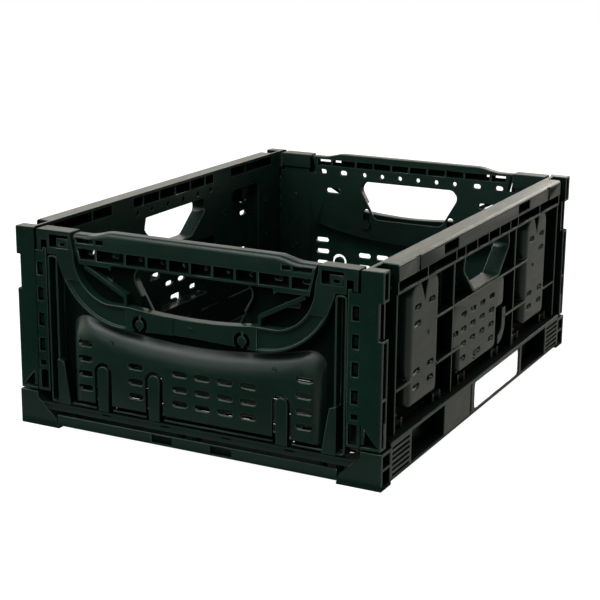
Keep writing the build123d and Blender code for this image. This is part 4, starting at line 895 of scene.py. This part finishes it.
# %% Floor and daylight
FLOOR_SIZE = 40
PAPER = (0.25, 0.25, 0.25, 1)
PAPER_ROUGHNESS, PAPER_GLOW = 0.9, 0.97
DAYLIGHT = 0.09
bpy.ops.mesh.primitive_plane_add(size=FLOOR_SIZE, location=(0, 0, 0))
floor = bpy.context.object
floor.name = "studio_floor"
paper = bpy.data.materials.new("studio_paper")
paper.use_nodes = True
paper_shader = paper.node_tree.nodes["Principled BSDF"]
paper_shader.inputs["Base Color"].default_value = PAPER
paper_shader.inputs["Roughness"].default_value = PAPER_ROUGHNESS
paper_shader.inputs["Specular IOR Level"].default_value = 0.0
paper_shader.inputs["Emission Color"].default_value = (1, 1, 1, 1)
paper_shader.inputs["Emission Strength"].default_value = PAPER_GLOW
floor.data.materials.append(paper)
floor.visible_glossy = False
floor.visible_diffuse = False
floor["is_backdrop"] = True
world = bpy.data.worlds.new("studio_world")
bpy.context.scene.world = world
world.use_nodes = True
world.node_tree.nodes["Background"].inputs["Color"].default_value = (1, 1, 1, 1)
world.node_tree.nodes["Background"].inputs["Strength"].default_value = DAYLIGHT
world.cycles_visibility.glossy = False
print("studio floor and daylight")

# %% [markdown]
# On a nearly black satin plastic the soft boxes do most of the drawing, so they are placed by the
# mirror rule: a face shows the box that lies in its mirror direction from the camera. The boxes behind
# give the pale upper faces and the grey of the long side, the box above the soft line along the bulge.
# Two unseen cards lie on the floor and light the lower faces from below. The label has a box of its
# own that reaches nothing else, so that the film is white while the plastic round it stays dark.

# %% Soft boxes
CRATE_MIDDLE = (0, 0, 0.08)
WHITE = (1, 1, 1)
WARM = (1.0, 0.95, 0.86)
# Name, place, width and height in metres, watts and colour
BOXES = (
    ("top_box", (-0.3, -1.05, 1.5), (1.8, 1.0), 24, WHITE),
    ("front_box", (-0.8, -2.2, 1.0), (2.4, 1.2), 7, WHITE),
    ("back_box", (-1.1, 2.1, 0.9), (3.2, 1.2), 15, WARM),
    ("right_box", (1.0, 0.0, 2.0), (0.9, 0.9), 8, WHITE),
    ("left_box", (-1.9, -0.6, 0.5), (1.6, 0.9), 10, WARM),
    ("left_back_box", (-1.9, 0.6, 0.95), (1.2, 0.9), 18, WHITE),
    ("back_low_box", (0.35, 2.4, 0.75), (1.8, 0.9), 16, WARM),
)
FLOOR_CARDS = (
    ("right_card", (0.81, 0.25, 0.003), (1.318, 3.1), 5.0, WARM),
    ("front_card", (-0.2, -0.2325, 0.003), (1.0, 0.055), 0.03, WHITE),
)
LABEL_BOX = ("label_box", (1.6, -0.2, 0.6), (0.6, 0.6), 27, WHITE)


def softbox(target, name, place, size, power, colour):
    """Rectangular area light that looks at a point."""
    light = bpy.data.lights.new(name, "AREA")
    light.shape = "RECTANGLE"
    light.size, light.size_y = size
    light.energy = power
    light.color = colour
    lamp = bpy.data.objects.new(name, light)
    bpy.context.scene.collection.objects.link(lamp)
    lamp.location = place
    lamp.rotation_mode = "QUATERNION"
    lamp.rotation_quaternion = (Vector(target) - Vector(place)).to_track_quat("-Z", "Y")
    return lamp


for row in BOXES:
    softbox(CRATE_MIDDLE, *row)
for row in FLOOR_CARDS:
    straight_up = (row[1][0], row[1][1], 1)
    softbox(straight_up, *row).visible_camera = False
label_only = bpy.data.collections.new("label_only")
label_only.objects.link(label)
softbox(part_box("label_blank")[0], *LABEL_BOX).light_linking.receiver_collection = label_only
bpy.context.scene.view_settings.view_transform = "Standard"
print("lights", len(bpy.data.lights))

# %% [markdown]
# The camera is the photograph's own, worked out from the corners of the crate: a short telephoto lens
# about 1.3 m away, a little above the rim, looking at the corner between the near end and the long
# side with the label. Its turn is given by where its right, its up and its back point.

# %% Camera
SENSOR, LENS = 36, 90.04
CAMERA_RIGHT = Vector((0.889840, 0.456195, 0.008468))
CAMERA_UP = Vector((-0.126424, 0.228668, 0.965264))
CAMERA_BACK = Vector((0.438408, -0.859999, 0.261150))
CAMERA_PLACE = (0.52974, -1.06791, 0.39071)
camera_data = bpy.data.cameras.new("photo_camera")
camera = bpy.data.objects.new("photo_camera", camera_data)
bpy.context.scene.collection.objects.link(camera)
bpy.context.scene.camera = camera
camera_data.sensor_width = SENSOR
camera_data.lens = LENS
camera_turn = Matrix((CAMERA_RIGHT, CAMERA_UP, CAMERA_BACK)).transposed().to_4x4()
camera.matrix_world = Matrix.Translation(CAMERA_PLACE) @ camera_turn
print("camera at", CAMERA_PLACE)

# %% [markdown]
# Last, the box of the dressed crate is written down beside the box of the CAD model. The two should
# agree to a fraction of a millimetre, since roundings and marks are small.

# %% Size
low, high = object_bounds()
print("visual box", [round(v, 4) for v in low], [round(v, 4) for v in high])
